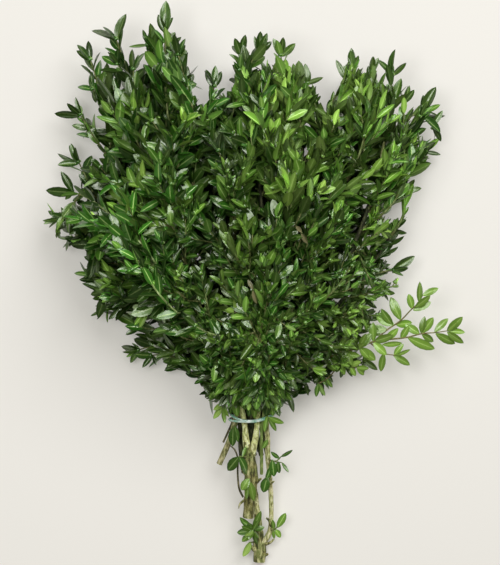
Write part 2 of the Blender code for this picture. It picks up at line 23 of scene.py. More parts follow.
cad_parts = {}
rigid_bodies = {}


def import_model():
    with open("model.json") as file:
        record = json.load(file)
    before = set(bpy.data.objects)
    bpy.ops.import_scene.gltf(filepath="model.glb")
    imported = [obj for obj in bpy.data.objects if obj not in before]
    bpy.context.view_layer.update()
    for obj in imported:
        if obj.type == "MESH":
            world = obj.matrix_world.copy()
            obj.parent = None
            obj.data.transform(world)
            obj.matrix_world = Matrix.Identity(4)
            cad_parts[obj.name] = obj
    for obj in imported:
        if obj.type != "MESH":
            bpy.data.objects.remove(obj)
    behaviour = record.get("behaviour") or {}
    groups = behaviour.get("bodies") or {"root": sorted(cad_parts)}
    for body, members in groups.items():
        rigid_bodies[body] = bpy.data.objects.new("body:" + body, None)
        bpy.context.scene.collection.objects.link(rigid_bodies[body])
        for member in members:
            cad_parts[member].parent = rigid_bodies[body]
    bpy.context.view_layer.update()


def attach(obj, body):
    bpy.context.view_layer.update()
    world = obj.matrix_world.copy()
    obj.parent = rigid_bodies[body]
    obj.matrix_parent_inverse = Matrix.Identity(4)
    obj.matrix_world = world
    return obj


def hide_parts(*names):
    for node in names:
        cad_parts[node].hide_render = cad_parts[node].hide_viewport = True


log = logging.getLogger("boxwood")

MM = 0.001
UP = Vector((0, 0, 1))
GOLDEN_ANGLE = math.pi * (3 - math.sqrt(5))

# ------------------------------------------------------------------------------ routes

# Woody stems, from the cut end upwards: (x, y, z, radius)
FORKS = {
    "stem_forked_trunk": (
        (
            (-4.5, -204, 13, 4.4), (-3, -186, 17, 4.7), (-1.5, -169, 20, 6.0),
            (-3, -150, 23, 5.0), (-6, -137, 26.8, 2.9), (-8, -117, 31, 2.3),
            (-15, -88, 38, 2.2), (-25, -60, 45, 2.0),
        ),
        (
            (-2.5, -156, 22, 3.2), (0, -145, 25, 2.9), (2.4, -132, 28.4, 2.5),
            (4, -117, 31, 2.3), (6, -88, 40, 2.2), (8, -60, 50, 2.0),
        ),
    ),
    "stem_long_forked": (
        (
            (5.5, -244, 4.5, 5.0), (6, -234, 5.06, 5.6), (5, -222, 7.0, 4.6),
            (4, -204, 8, 3.1), (1.5, -186, 8.6, 3.0), (-0.5, -168, 10.5, 3.0),
            (-1.5, -150, 14.5, 3.0), (-2, -117, 21.5, 3.0), (7, -88, 29, 2.7),
            (18, -60, 38, 2.4),
        ),
        (
            (7.5, -228, 7.6, 2.6), (13, -221, 9, 2.5), (15.6, -212, 10, 2.2),
            (16, -190, 13, 2.0), (14.5, -168, 17, 2.1), (13, -150, 21, 2.3),
            (12.5, -134, 24, 2.4), (12.5, -117, 27, 2.4), (24, -88, 38, 2.3),
            (40, -60, 49, 2.1),
        ),
    ),
}
STEMS = {
    "stem_left_stub": (
        (-29.5, -157, 17, 2.5), (-20, -135, 22, 2.6), (-14.5, -117, 26.5, 2.5),
        (-5, -90, 31.5, 2.4), (4, -62, 34, 2.3), (18, -20, 40, 2.1), (34, 30, 46, 2.0),
        (48, 75, 50, 1.8), (58, 115, 50, 1.5),
    ),
    "stem_green": (
        (7.5, -166, 17, 1.4), (7.5, -150, 21, 1.5), (7.4, -135, 27, 1.5),
        (8.5, -117, 31.0, 1.5), (16, -88, 45, 1.5), (26, -55, 54, 1.5), (36, -10, 64, 1.4),
        (44, 50, 70, 1.3), (42, 110, 68, 1.2),
    ),
    "stem_far_left": (
        (-8, -165, 10, 2.2), (-10.5, -145, 16, 2.2), (-12.5, -117, 21.8, 2.2),
        (-26, -90, 24, 2.2), (-52, -57, 28, 2.1), (-85, -20, 30, 2.0), (-112, 14, 31, 1.8),
        (-135, 40, 31, 1.5),
    ),
    "stem_left_upper": (
        (-5.5, -155, 9, 2.3), (-9, -117, 18.2, 2.3), (-20, -88, 17, 2.3),
        (-40, -50, 20, 2.2), (-75, 5, 25, 2.0), (-103, 60, 30, 1.8), (-124, 108, 32, 1.4),
    ),
    "stem_left_top": (
        (1, -150, 8, 2.2), (-4.6, -117, 16.2, 2.2), (-9, -88, 22, 2.2), (-22, -55, 26, 2.1),
        (-45, 0, 36, 2.0), (-70, 70, 42, 1.8), (-88, 110, 44, 1.6), (-98, 140, 44, 1.4),
    ),
    "stem_middle_back": (
        (7.5, -150, 9.5, 2.2), (0.2, -117, 15.7, 2.2), (0, -80, 13.5, 2.2),
        (-6, -30, 14, 2.1), (-18, 30, 20, 1.9), (-27, 90, 28, 1.7), (-33, 140, 32, 1.4),
    ),
    "stem_right_top": (
        (12.5, -148, 13, 2.2), (7.6, -117, 18.8, 2.2), (21, -85, 21, 2.2),
        (45, -40, 26, 2.1), (80, 25, 32, 1.9), (108, 85, 36, 1.7), (124, 125, 36, 1.4),
    ),
    "stem_right_low": (
        (5.5, -146, 16.5, 1.9), (3.4, -117, 20.9, 2.0), (17, -92, 27, 2.0),
        (42, -58, 36, 1.9), (72, -20, 40, 1.8), (100, 15, 42, 1.7), (118, 40, 42, 1.4),
    ),
    "stem_thin_twig": (
        (-26, -138, 17.5, 0.9), (-21.5, -128, 20, 0.9), (-17.6, -117, 22.4, 0.9),
        (-21, -104, 26, 0.9), (-28, -88, 32, 0.8),
    ),
    "branch_upper_left": (
        (-25, -60, 45, 2.0), (-36, -30, 52, 1.9), (-45, 0, 58, 1.9), (-60, 60, 66, 1.7),
        (-70, 115, 62, 1.4),
    ),
    "branch_middle": (
        (8, -60, 50, 2.0), (10, -30, 57, 1.9), (11, 0, 64, 1.9), (8, 60, 70, 1.7),
        (2, 120, 66, 1.3),
    ),
    "branch_right": (
        (18, -60, 38, 2.4), (31, -30, 43, 2.2), (46, 0, 47, 2.1), (68, 60, 52, 1.8),
        (82, 115, 50, 1.4),
    ),
    "branch_right_upper": (
        (40, -60, 49, 2.1), (56, -30, 56, 2.0), (72, 0, 62, 1.9), (97, 60, 62, 1.7),
        (110, 108, 56, 1.3),
    ),
}
# Stems with a bark of their own; the forked ones have the trunk's, and the others the plain one
# the inner stems' dark bark is painted shade, for the shade they lie in among the leaves
BARKS = {
    **dict.fromkeys(
        (
            "stem_far_left", "stem_left_upper", "stem_left_top", "stem_middle_back",
            "stem_right_top", "stem_right_low", "branch_upper_left", "branch_middle",
            "branch_right", "branch_right_upper",
        ),
        "inner_bark",
    ),
    "stem_left_stub": "dull_bark", "stem_green": "green_bark", "stem_thin_twig": "dead_bark",
}

# Thorns, hooks and dead twigs on the bare stems
SNAGS = {
    "stem_forked_trunk": (
        ((-8, -189, 17, 1.2), (-11.5, -192, 18, 0.9), (-12.6, -196, 18, 0.3)),
        ((-6, -166, 24, 1.5), (-8.6, -163, 26.5, 1.0), (-9.6, -162, 27.5, 0.7)),
        ((3, -173, 22, 1.4), (6, -170, 24.5, 1.1), (7.4, -169, 25.3, 0.8)),
        ((-4, -152, 26, 1.0), (-2, -147, 30, 0.8), (-1, -145, 31.5, 0.5)),
        (
            (-8.6, -186, 17, 0.9), (-12.2, -178, 19, 0.9), (-13.4, -164, 21, 0.8),
            (-13.2, -152, 23, 0.8), (-16, -144, 25.5, 0.7), (-20.5, -140, 27, 0.5),
        ),
    ),
    "stem_long_forked": (
        ((16, -213, 10.5, 1.6), (14.4, -207, 13, 1.2), (11.6, -204.5, 13.5, 0.8)),
        ((11, -228, 9, 1.5), (15.5, -226, 12, 1.1), (18.4, -223, 13, 0.8)),
        ((1.5, -233, 8, 2.2), (-1.5, -230, 10, 1.6), (-3.2, -228.5, 11, 1.0)),
        ((9, -238, 7, 2.0), (12, -237, 8.5, 1.4), (13.4, -236.4, 9, 0.8)),
        ((14.6, -175, 18, 1.1), (17.6, -172.5, 20, 0.8), (18.6, -171.8, 20.6, 0.5)),
    ),
}


LEAFLESS = 6.0  # the length of most twigs that has no leaves, next to the parent


class Origin(NamedTuple):
    """Where a leafy twig starts and ends, and how it is dressed."""

    name: str
    parent: str
    leaves_at: float | None  # y on the parent, or None to carry on from its end
    tip: tuple[float, float, float]
    bare: float = LEAFLESS
    arm: int = 0


TWIGS = tuple(Origin(*row) for row in (
    ("spray_upper_left_tip", "branch_upper_left", None, (-74, 239.4, 48)),
    ("spray_upper_left_outer", "branch_upper_left", 68, (-104, 190, 60)),
    ("spray_upper_left_inner", "branch_upper_left", 88, (-62, 204, 68)),
    ("spray_upper_left_front", "branch_upper_left", 5, (-80, 112, 84)),
    ("spray_left_top_tip", "stem_left_top", None, (-112, 222, 40)),
    ("spray_left_top_outer", "stem_left_top", 92, (-143, 190, 34)),
    ("spray_left_top_low", "stem_left_top", 30, (-112, 128, 54)),
    ("spray_left_upper_tip", "stem_left_upper", None, (-162, 146, 27)),
    ("spray_left_upper_low", "stem_left_upper", 42, (-162, 106, 13)),
    ("spray_far_left_tip", "stem_far_left", None, (-178, 55, 27)),
    ("spray_far_left_upper", "stem_far_left", 8, (-168, 84, 40), 40),
    ("spray_far_left_low", "stem_far_left", -22, (-138, 2, 18)),
    ("spray_middle_tip", "branch_middle", None, (-8, 206, 57)),
    ("spray_middle_right", "branch_middle", 82, (23, 203, 60)),
    ("spray_middle_left", "branch_middle", 55, (-20, 186, 62)),
    ("spray_middle_front", "branch_middle", -25, (-10, 88, 88)),
    ("spray_middle_back_tip", "stem_middle_back", None, (-38, 180, 30)),
    ("spray_light_tip", "stem_green", None, (36, 197, 54)),
    ("spray_light_right", "stem_green", 66, (54, 166, 62)),
    ("spray_light_front", "stem_green", 2, (42, 104, 89)),
    ("spray_light_left", "stem_green", 30, (16, 138, 86)),
    ("spray_right_inner_tip", "stem_left_stub", None, (71, 186, 40)),
    ("spray_right_tip", "branch_right", None, (87, 193, 44)),
    ("spray_right_outer", "branch_right", 70, (106, 184, 62)),
    ("spray_right_front", "branch_right", -5, (70, 92, 90)),
    ("spray_right_upper_tip", "branch_right_upper", None, (121, 192, 46)),
    ("spray_right_upper_outer", "branch_right_upper", 52, (134, 146, 58)),
    ("spray_right_top_tip", "stem_right_top", None, (153, 162, 30)),
    ("spray_right_top_outer", "stem_right_top", 68, (156, 117, 11)),
    ("spray_right_low_tip", "stem_right_low", None, (139, 78, 32)),
    ("spray_right_low_outer", "stem_right_low", 2, (133, 31, 24)),
    ("spray_lower_left", "stem_far_left", -72, (-103, -38, 13)),
    ("spray_lower_left_inner", "stem_left_upper", -92, (-50, -80, 9)),
    ("spray_lower_right", "stem_right_top", -72, (93, -71, 10.5)),
    ("spray_lower_right_inner", "stem_right_top", -98, (52, -95, 14), 12),
    ("spray_front_left", "stem_forked_trunk", -84, (-44, -12, 78)),
    ("spray_front_middle", "stem_forked_trunk", -88, (6, -22, 84), LEAFLESS, 1),
    ("spray_front_right", "stem_long_forked", -84, (52, -14, 82), LEAFLESS, 1),
))
LIGHT_SPRAYS = {
    "spray_light_tip", "spray_light_right", "spray_light_front", "spray_light_left",
    "spray_side_sprig", "sprig_bottom_right",
}


class Spear(NamedTuple):
    """A shoot that stands out of the bunch: where it ends, and its last leaves' tips."""

    joint: tuple[float, float, float]
    tips: tuple
    owner: str = ""  # the twig that ends in it, if it isn't a shoot of its own
    via: tuple = ()


SPEARS = tuple(Spear(*row) for row in (
    ((-118, 211, 42), ((-111, 235), (-137, 226)), "spray_left_top_tip"),
    ((-141, 194, 34), ((-153, 204), (-143, 207)), "spray_left_top_outer"),
    ((-139, 169, 28), ((-144, 178), (-138, 158))),
    ((-150, 147, 26), ((-173, 152), (-172, 146), (-155, 163)), "spray_left_upper_tip"),
    ((-142, 136, 24), ((-158, 138), (-150, 128))),
    ((-152, 106, 16), ((-172, 112), (-171, 105), (-160, 123)), "spray_left_upper_low"),
    (
        (-156, 80, 40), ((-180, 80), (-166, 98), (-163, 73)), "spray_far_left_upper",
        (
            (-58, -16, 72), (-74, 4, 82), (-88, 26, 88), (-100, 40, 87), (-115, 53, 83),
            (-126, 63, 76), (-141, 74, 60),
        ),
    ),
    ((-168, 57, 27), ((-183, 55), (-179, 64), (-178, 50)), "spray_far_left_tip"),
    ((-157, 41, 22), ((-166, 41), (-160, 33))),
    ((-158, 56, 30), ((-177, 60), (-172, 48), (-168, 66))),
    ((-150, 50, 36), ((-165, 52), (-160, 44))),
    ((-143, 8, 18), ((-150, 4), (-146, 14)), "spray_far_left_low"),
    ((-131, -21, 13), ((-140, -25), (-136, -31))),
    ((-99, -37, 14), ((-111, -44), (-112, -34)), "spray_lower_left"),
    ((-99, -57, 11), ((-114, -60), (-108, -69), (-106, -51))),
    ((-88, -62, 12), ((-97, -73), (-84, -70))),
    ((-66, -62, 14), ((-75, -73), (-62, -72))),
    ((-46, -74, 12), ((-53, -82), (-46, -90)), "spray_lower_left_inner"),
    ((-35, -90, 26), ((-39, -113), (-42, -100))),
    ((-75.5, 217, 48), ((-77, 245), (-72, 241), (-84, 232)), "spray_upper_left_tip"),
    ((-90, 207, 44), ((-96, 221), (-87, 223))),
    ((-87, 188, 46), ((-93, 208), (-84, 206))),
    ((-128, 18, 40), ((-147, 24), (-141, 10))),
    ((-127, -8, 38), ((-148, 2), (-136, -29))),
    ((-114, -18, 34), ((-132, -22), (-125, -31))),
    ((-103, 184, 56), ((-106, 203), (-98, 198)), "spray_upper_left_outer"),
    ((-64, 196, 62), ((-66, 216), (-57, 205)), "spray_upper_left_inner"),
    ((-58, 174, 44), ((-52, 182), (-56, 190))),
    ((-34, 171, 31), ((-42, 187), (-33, 191), (-27, 186)), "spray_middle_back_tip"),
    ((-7, 184, 58), ((-18, 196), (-12, 199)), "spray_middle_left"),
    ((-10, 196, 54), ((-15, 213), (-8, 216)), "spray_middle_tip"),
    ((5, 199, 56), ((1, 214), (6, 218), (12, 216))),
    ((24, 196, 57), ((26, 213), (37, 207), (18, 212)), "spray_middle_right"),
    ((36, 176, 54), ((36, 190), (30, 188)), "spray_light_tip"),
    ((46, 173, 50), ((47, 191), (52, 186))),
    ((53, 156, 58), ((52, 173), (59, 162)), "spray_light_right"),
    ((80, 177, 42), ((72, 195), (81, 192)), "spray_right_inner_tip"),
    ((86, 186, 44), ((85, 205), (92, 198)), "spray_right_tip"),
    ((102, 182, 58), ((102, 197), (108, 196)), "spray_right_outer"),
    ((120, 180, 46), ((111, 197), (121, 204), (131, 193)), "spray_right_upper_tip"),
    ((130, 156, 52), ((136, 172), (139, 168)), "spray_right_upper_outer"),
    ((108, 166, 50), ((114, 184), (104, 180))),
    ((122, 158, 52), ((127, 178), (117, 172))),
    ((148, 150, 31), ((148, 165), (158, 172)), "spray_right_top_tip"),
    ((156, 138, 26), ((166, 152), (160, 135))),
    ((150, 116, 14), ((165, 114), (160, 124)), "spray_right_top_outer"),
    ((142, 105, 22), ((156, 106), (152, 112))),
    ((132, 81, 31), ((147, 84), (140, 92)), "spray_right_low_tip"),
    ((121, 48, 34), ((133, 57), (134, 44))),
    ((121, 12, 24), ((142, 25), (131, 8), (136, 16)), "spray_right_low_outer"),
    ((114, 27, 34), ((126, 32), (122, 38))),
    ((112, -6, 36), ((124, -9), (120, 2))),
    ((98, -14, 28), ((112, -12), (108, -21))),
    ((96, -28, 26), ((111, -30), (106, -20))),
    ((88, -42, 24), ((102, -40), (98, -52))),
    ((106, 4, 28), ((120, 0), (117, -8))),
    ((104, 36, 46), ((116, 44), (118, 34))),
    ((114, 35, 36), ((132, 41), (127, 47))),
    ((62, -74, 14), ((70, -86), (58, -86))),
    ((96, -66, 12), ((110, -74), (98, -79)), "spray_lower_right"),
    ((80, -70, 14), ((88, -80), (77, -82))),
    ((60, -82, 18), ((60, -99), (68, -88))),
    ((44, -84, 17), ((51, -96), (40, -95)), "spray_lower_right_inner"),
    ((29, -92, 28), ((36, -111), (35, -100))),
    ((16, -98, 34), ((24, -114), (14, -112))),
    # Long pale shoots that lie on top
    (
        (-103, 26, 88), ((-120, 38), (-106, 46)), "",
        ((-63, -25, 82), (-80, -8, 90), (-93, 12, 92)),
    ),
    ((-48, -36, 85), ((-66, -46), (-60, -28)), "", ((-22, -46, 78), (-36, -42, 85))),
))

# Ends of the short shoots that droop over the band
COLLAR = (
    (-36, -98, 40), (-30, -104, 44), (-25, -98, 52), (-19, -108, 48), (-13, -103, 54),
    (-8, -110, 50), (-3, -104, 56), (2, -110, 52), (7, -103, 57), (12, -109, 52), (18, -104, 54),
    (24, -107, 48), (30, -101, 46), (-29, -88, 54), (-20, -92, 58), (-12, -88, 62), (-3, -90, 63),
    (6, -88, 63), (14, -92, 60), (23, -90, 57), (32, -87, 52), (-38, -84, 46), (40, -84, 46),
)

# The mass of the foliage keeps inside this outline, and below this crest of (y, highest z)
OUTLINE = (
    (-32, -112), (-41, -100), (-41, -92), (-48, -84), (-55, -74), (-62, -70), (-74, -71),
    (-84, -66), (-94, -68), (-104, -66), (-106, -53), (-96, -47), (-104, -42), (-111, -36),
    (-114, -27), (-126, -28), (-135, -24), (-137, -13), (-146, -8), (-148, 0), (-143, 9),
    (-146, 20), (-146, 30), (-156, 35), (-165, 42), (-171, 52), (-168, 60), (-157, 66),
    (-152, 76), (-144, 79), (-147, 90), (-152, 98), (-150, 106), (-140, 109), (-131, 109),
    (-133, 122), (-141, 128), (-143, 136), (-137, 143), (-126, 144), (-128, 150), (-135, 157),
    (-135, 164), (-139, 172), (-135, 183), (-140, 190), (-136, 198), (-128, 206), (-119, 208),
    (-112, 202), (-106, 196), (-105, 186), (-96, 190), (-95, 216), (-88, 222), (-78, 227),
    (-71, 222), (-65, 208), (-65, 193), (-62, 180), (-56, 170), (-52, 158), (-47, 150),
    (-41, 158), (-37, 168), (-30, 168), (-24, 163), (-18, 168), (-14, 184), (-12, 203), (-2, 207),
    (6, 210), (16, 204), (26, 204), (32, 197), (31, 184), (44, 184), (50, 176), (56, 165),
    (58, 154), (61, 149), (67, 152), (75, 158), (81, 168), (82, 184), (86, 192), (92, 193),
    (100, 188), (108, 189), (114, 180), (114, 171), (122, 172), (130, 166), (133, 158),
    (128, 149), (136, 149), (144, 157), (152, 161), (158, 156), (159, 144), (154, 135),
    (158, 130), (160, 115), (154, 107), (140, 103), (136, 94), (140, 84), (134, 79), (120, 79),
    (109, 74), (106, 66), (112, 60), (122, 57), (130, 48), (131, 41), (125, 31), (116, 24),
    (122, 16), (124, 8), (120, -1), (117, -12), (112, -28), (107, -48), (106, -62), (100, -69),
    (98, -76), (90, -79), (80, -80), (72, -84), (66, -83), (60, -95), (52, -96), (45, -93),
    (36, -98), (34, -107), (26, -113), (10, -110), (-12, -110), (-24, -108),
)
CREST = ((-120, 44), (-90, 62), (-60, 84), (-20, 99), (60, 109), (120, 104), (180, 84), (245, 62))


def held(value: float, low: float = 0.0, high: float = 1.0) -> float:
    """A value, held between two limits."""
    return min(max(value, low), high)


def smooth_through(stops: tuple | list, steps: int) -> list[Vector]:
    """Work out a smooth line through some stops.

    Args:
        stops: The stops, each of any length.
        steps: How many points each span gets.

    Returns:
        The line's points, of the stops' length.
    """
    knots = [Vector(stop) for stop in stops]
    knots = [2 * knots[0] - knots[1], *knots, 2 * knots[-1] - knots[-2]]
    line = []
    for before, start, end, after in zip(knots, knots[1:], knots[2:], knots[3:]):
        for step in range(steps):
            t = step / steps
            line.append(0.5 * (
                2 * start
                + (end - before) * t
                + (2 * before - 5 * start + 4 * end - after) * t**2
                + (3 * start - before - 3 * end + after) * t**3
            ))
    return [*line, knots[-2]]


@dataclass
class Route:
    """A line of points (x, y, z, radius) that can be read at any distance along it."""

    points: list[Vector]
    marks: list[float] = field(init=False)

    def __post_init__(self) -> None:
        """Mark each point with its distance from the start."""
        self.marks = [0.0]
        for start, end in zip(self.points, self.points[1:]):
            self.marks.append(self.marks[-1] + (end.xyz - start.xyz).length)

    @classmethod
    def through(cls, stops: tuple | list, steps: int = 4) -> "Route":
        """Make the smooth route through some stops."""
        return cls(smooth_through(stops, steps))

    @property
    def length(self) -> float:
        """The whole length."""
        return self.marks[-1]

    def at(self, distance: float) -> tuple[Vector, Vector, float]:
        """Read the route at a distance from its start.

        Args:
            distance: The distance, held within the route.

        Returns:
            The place, the heading and the radius there.
        """
        index = min(max(bisect_right(self.marks, distance), 1), len(self.points) - 1)
        start, end = self.points[index - 1], self.points[index]
        share = (distance - self.marks[index - 1]) / (self.marks[index] - self.marks[index - 1])
        point = start.lerp(end, held(share))
        return point.xyz, (end.xyz - start.xyz).normalized(), point.w

    def nearest_to_y(self, y: float) -> float:
        """The distance along the route at which it comes nearest to a y."""
        index = min(range(len(self.points)), key=lambda i: abs(self.points[i].y - y))
        return self.marks[index]


def square_to(heading: Vector) -> Vector:
    """A level direction at right angles to a heading."""
    level = heading.cross(UP)
    return level.normalized() if level.length > 0.05 else Vector((1, 0, 0))


class Patch(NamedTuple):
    """A round patch of the foliage, seen from above, where something is stronger."""

    x: float
    y: float
    reach_x: float
    reach_y: float
    amount: float

    def at(self, place: Vector) -> float:
        """How strong it is at a place."""
        across, along = (place.x - self.x) / self.reach_x, (place.y - self.y) / self.reach_y
        return self.amount * math.exp(-across**2 - along**2)


# Dark gaps between the shoots, where the foliage sinks in and its deep leaves get painted shade
HOLLOWS = (
    Patch(-77, 142, 14, 9, 0.85), Patch(-51, 104, 7, 22, 0.95), Patch(45, 108, 9, 12, 0.9),
    Patch(92, 117, 8, 12, 0.85), Patch(-30, 115, 8, 10, 0.75), Patch(8, 53, 9, 9, 0.85),
    Patch(-5, 14, 8, 8, 0.6), Patch(-119, 16, 11, 8, 0.9), Patch(-59, 26, 7, 9, 0.75),
    Patch(-43, -15, 8, 8, 0.85), Patch(-62, -45, 10, 6, 0.85), Patch(-18, 150, 6, 12, 0.7),
    Patch(68, 58, 7, 9, 0.6), Patch(28, -30, 9, 7, 0.6), Patch(-90, 84, 8, 7, 0.6),
)


# Places over which the foliage has to close
THIN_PLACES = (
    (104, 43), (98, 50), (110, 36), (106, 24), (95, -10), (103, -16), (97, -26), (104, -28),
    (92, -38), (98, -48), (86, -56), (62, -74), (74, -76), (52, -86), (100, 8), (88, -22),
    (-158, 52), (-150, 44), (-140, 20), (-134, 0), (90, 54), (94, 46), (88, 63), (98, 60),
    (49, 138), (76, 140), (60, 132), (45, 128), (18, 68), (-3, 61), (-119, 41), (-132, 140),
    (-4, -2), (24, 76), (-60, 100), (34, 20), (112, 8), (106, 14),
)


@dataclass(frozen=True)
class Envelope:
    """The room that the foliage fills."""

    outline: tuple = OUTLINE
    crest: tuple = CREST
    lowest: float = 3.0
    middle: tuple = (0.0, 45.0)
    slump: float = 0.60  # how much lower the top is at the outline
    hollows: tuple = HOLLOWS
    hollow_depth: float = 0.5

    def top(self, y: float) -> float:
        """The highest z that a leaf reaches at a y."""
        for (low, z_low), (high, z_high) in zip(self.crest, self.crest[1:]):
            if y <= high:
                return z_low + (z_high - z_low) * max(0.0, (y - low) / (high - low))
        return self.crest[-1][1]

    @cached_property
    def rim(self) -> list[float]:
        """How far the outline is from the middle, one figure for each degree."""
        found = []
        for degree in range(360):
            ray = Vector((math.sin(math.radians(degree)), math.cos(math.radians(degree))))
            furthest = 1.0
            for start, end in zip(self.outline, (*self.outline[1:], self.outline[0])):
                offset = Vector(start) - Vector(self.middle)
                edge = Vector(end) - Vector(start)
                cross = ray.cross(edge)
                if abs(cross) > 1e-6 and 0 <= offset.cross(ray) / cross <= 1:
                    furthest = max(furthest, offset.cross(edge) / cross)
            found.append(furthest)
        return found

    def outwards(self, place: Vector) -> float:
        """How far out a place lies, from 0 in the middle to 1 at the outline."""
        x, y = place.x - self.middle[0], place.y - self.middle[1]
        return math.hypot(x, y) / self.rim[round(math.degrees(math.atan2(x, y))) % 360]

    def dome(self, place: Vector) -> float:
        """The highest z at a place, lower towards the outline, with the hollows filled up."""
        return self.top(place.y) * (1 - self.slump * min(1.0, self.outwards(place)) ** 3)

    def sunk(self, place: Vector) -> float:
        """How far the foliage has sunk in at a place, 0 to 1."""
        return max(patch.at(place) for patch in self.hollows)

    def roof(self, place: Vector) -> float:
        """The foliage's highest z at a place."""
        return self.dome(place) * (1 - self.hollow_depth * self.sunk(place))

    def holds(self, place: Vector, margin: float = 1.0) -> bool:
        """Whether a place lies inside the outline, seen from above.

        Args:
            place: The place.
            margin: What its distance from the bunch's middle is multiplied by first.

        Returns:
            True if it lies inside.
        """
        x = self.middle[0] + (place.x - self.middle[0]) * margin
        y = self.middle[1] + (place.y - self.middle[1]) * margin
        inside = False
        for (xa, ya), (xb, yb) in zip(self.outline, (*self.outline[1:], self.outline[0])):
            if (ya > y) != (yb > y) and x < xa + (xb - xa) * (y - ya) / (yb - ya):
                inside = not inside
        return inside

    def eased(self, place: Vector, clearance: float = 0.0) -> Vector:
        """The same place, raised or lowered into the room."""
        low, high = self.lowest + clearance * 0.3, self.top(place.y) - clearance
        return Vector((place.x, place.y, held(place.z, low, high)))


# --------------------------------------------------------------------------- materials


def shade(red: int, green: int, blue: int) -> tuple[float, float, float, float]:
    """A colour for a shader from the values that a screen shows, 0 to 255."""
    linear = [
        part / 12.92 if part <= 0.04045 else ((part + 0.055) / 1.055) ** 2.4
        for part in (red / 255, green / 255, blue / 255)
    ]
    return (*linear, 1.0)


class Signal:
    """What one socket of a material gives, with the sums that can be done on it."""

    def __init__(self, shading: "Shading", socket: bpy.types.NodeSocket) -> None:
        """Wrap an output socket of a material's node."""
        self.shading = shading
        self.socket = socket

    def output(self, index: int) -> "Signal":
        """Another output of the same node."""
        return Signal(self.shading, self.socket.node.outputs[index])

    def __add__(self, other: Any) -> "Signal":
        """Add."""
        return self.shading.maths("ADD", self, other)

    def __sub__(self, other: Any) -> "Signal":
        """Subtract."""
        return self.shading.maths("SUBTRACT", self, other)

    def __rsub__(self, other: Any) -> "Signal":
        """Subtract this from a number."""
        return self.shading.maths("SUBTRACT", other, self)

    def __mul__(self, other: Any) -> "Signal":
        """Multiply."""
        return self.shading.maths("MULTIPLY", self, other)

    def __abs__(self) -> "Signal":
        """Drop the sign."""
        return self.shading.maths("ABSOLUTE", self, 0.0)

    __radd__ = __add__
    __rmul__ = __mul__

    def sine(self) -> "Signal":
        """The sine."""
        return self.shading.maths("SINE", self, 0.0)

    def rise(self, low: float, high: float) -> "Signal":
        """A soft step from 0 at low to 1 at high."""
        settings = {"interpolation_type": "SMOOTHSTEP"}
        return self.shading.node("ShaderNodeMapRange", settings, {0: self, 1: low, 2: high})


class Shading:
    """A material while its nodes are being laid."""

    def __init__(self, name: str) -> None:
        """Start a material with no nodes."""
        self.material = bpy.data.materials.new(name)
        self.material.use_nodes = True
        self.tree = self.material.node_tree
        self.tree.nodes.clear()

    def node(self, kind: str, settings: dict, sockets: dict, output: int = 0) -> Signal:
        """Lay a node.

        Args:
            kind: The node's type.
            settings: Its own settings, such as an operation, which are set first.
            sockets: What its inputs get, by name or number: a value or a Signal.
            output: The number of the output that is wanted.

        Returns:
            The wanted output.
        """
        made = self.tree.nodes.new(kind)
        for key, value in settings.items():
            setattr(made, key, value)
        for key, value in sockets.items():
            if isinstance(value, Signal):
                self.tree.links.new(value.socket, made.inputs[key])
            else:
                made.inputs[key].default_value = value
        return Signal(self, made.outputs[output]) if made.outputs else None

    def maths(self, operation: str, first: Any, second: Any) -> Signal:
        """A sum on one or two numbers."""
        return self.node("ShaderNodeMath", {"operation": operation}, {0: first, 1: second})

    def mix(self, share: Any, low: Any, high: Any) -> Signal:
        """A blend of two colours."""
        sockets = {0: share, 6: low, 7: high}
        return self.node("ShaderNodeMix", {"data_type": "RGBA"}, sockets, output=2)

    def scaled(self, colour: Any, amount: Any) -> Signal:
        """A colour made lighter or darker."""
        return self.node("ShaderNodeVectorMath", {"operation": "SCALE"}, {0: colour, 3: amount})

    def noise(self, scale: float, detail: float, stretch: tuple = (1, 1, 1)) -> Signal:
        """Noise in the piece's own space, scale in lumps a metre."""
        place = self.node("ShaderNodeTexCoord", {}, {}, output=3)
        mapped = self.node("ShaderNodeMapping", {}, {0: place, 3: stretch})
        sockets = {"Vector": mapped, "Scale": scale, "Detail": detail}
        return self.node("ShaderNodeTexNoise", {}, sockets)

    def attribute(self, name: str) -> Signal:
        """A number that the mesh carries."""
        settings = {"attribute_type": "GEOMETRY", "attribute_name": name}
        return self.node("ShaderNodeAttribute", settings, {}, output=2)

    def bump(self, height: Signal, strength: float, depth: float) -> Signal:
        """A surface normal moved by a height, depth in metres."""
        sockets = {"Height": height, "Strength": strength, "Distance": depth}
        return self.node("ShaderNodeBump", {}, sockets)

    def surface(self, sockets: dict) -> bpy.types.Material:
        """End the material with its shader, and return it."""
        shader = self.node("ShaderNodeBsdfPrincipled", {}, sockets)
        self.node("ShaderNodeOutputMaterial", {}, {"Surface": shader})
        return self.material


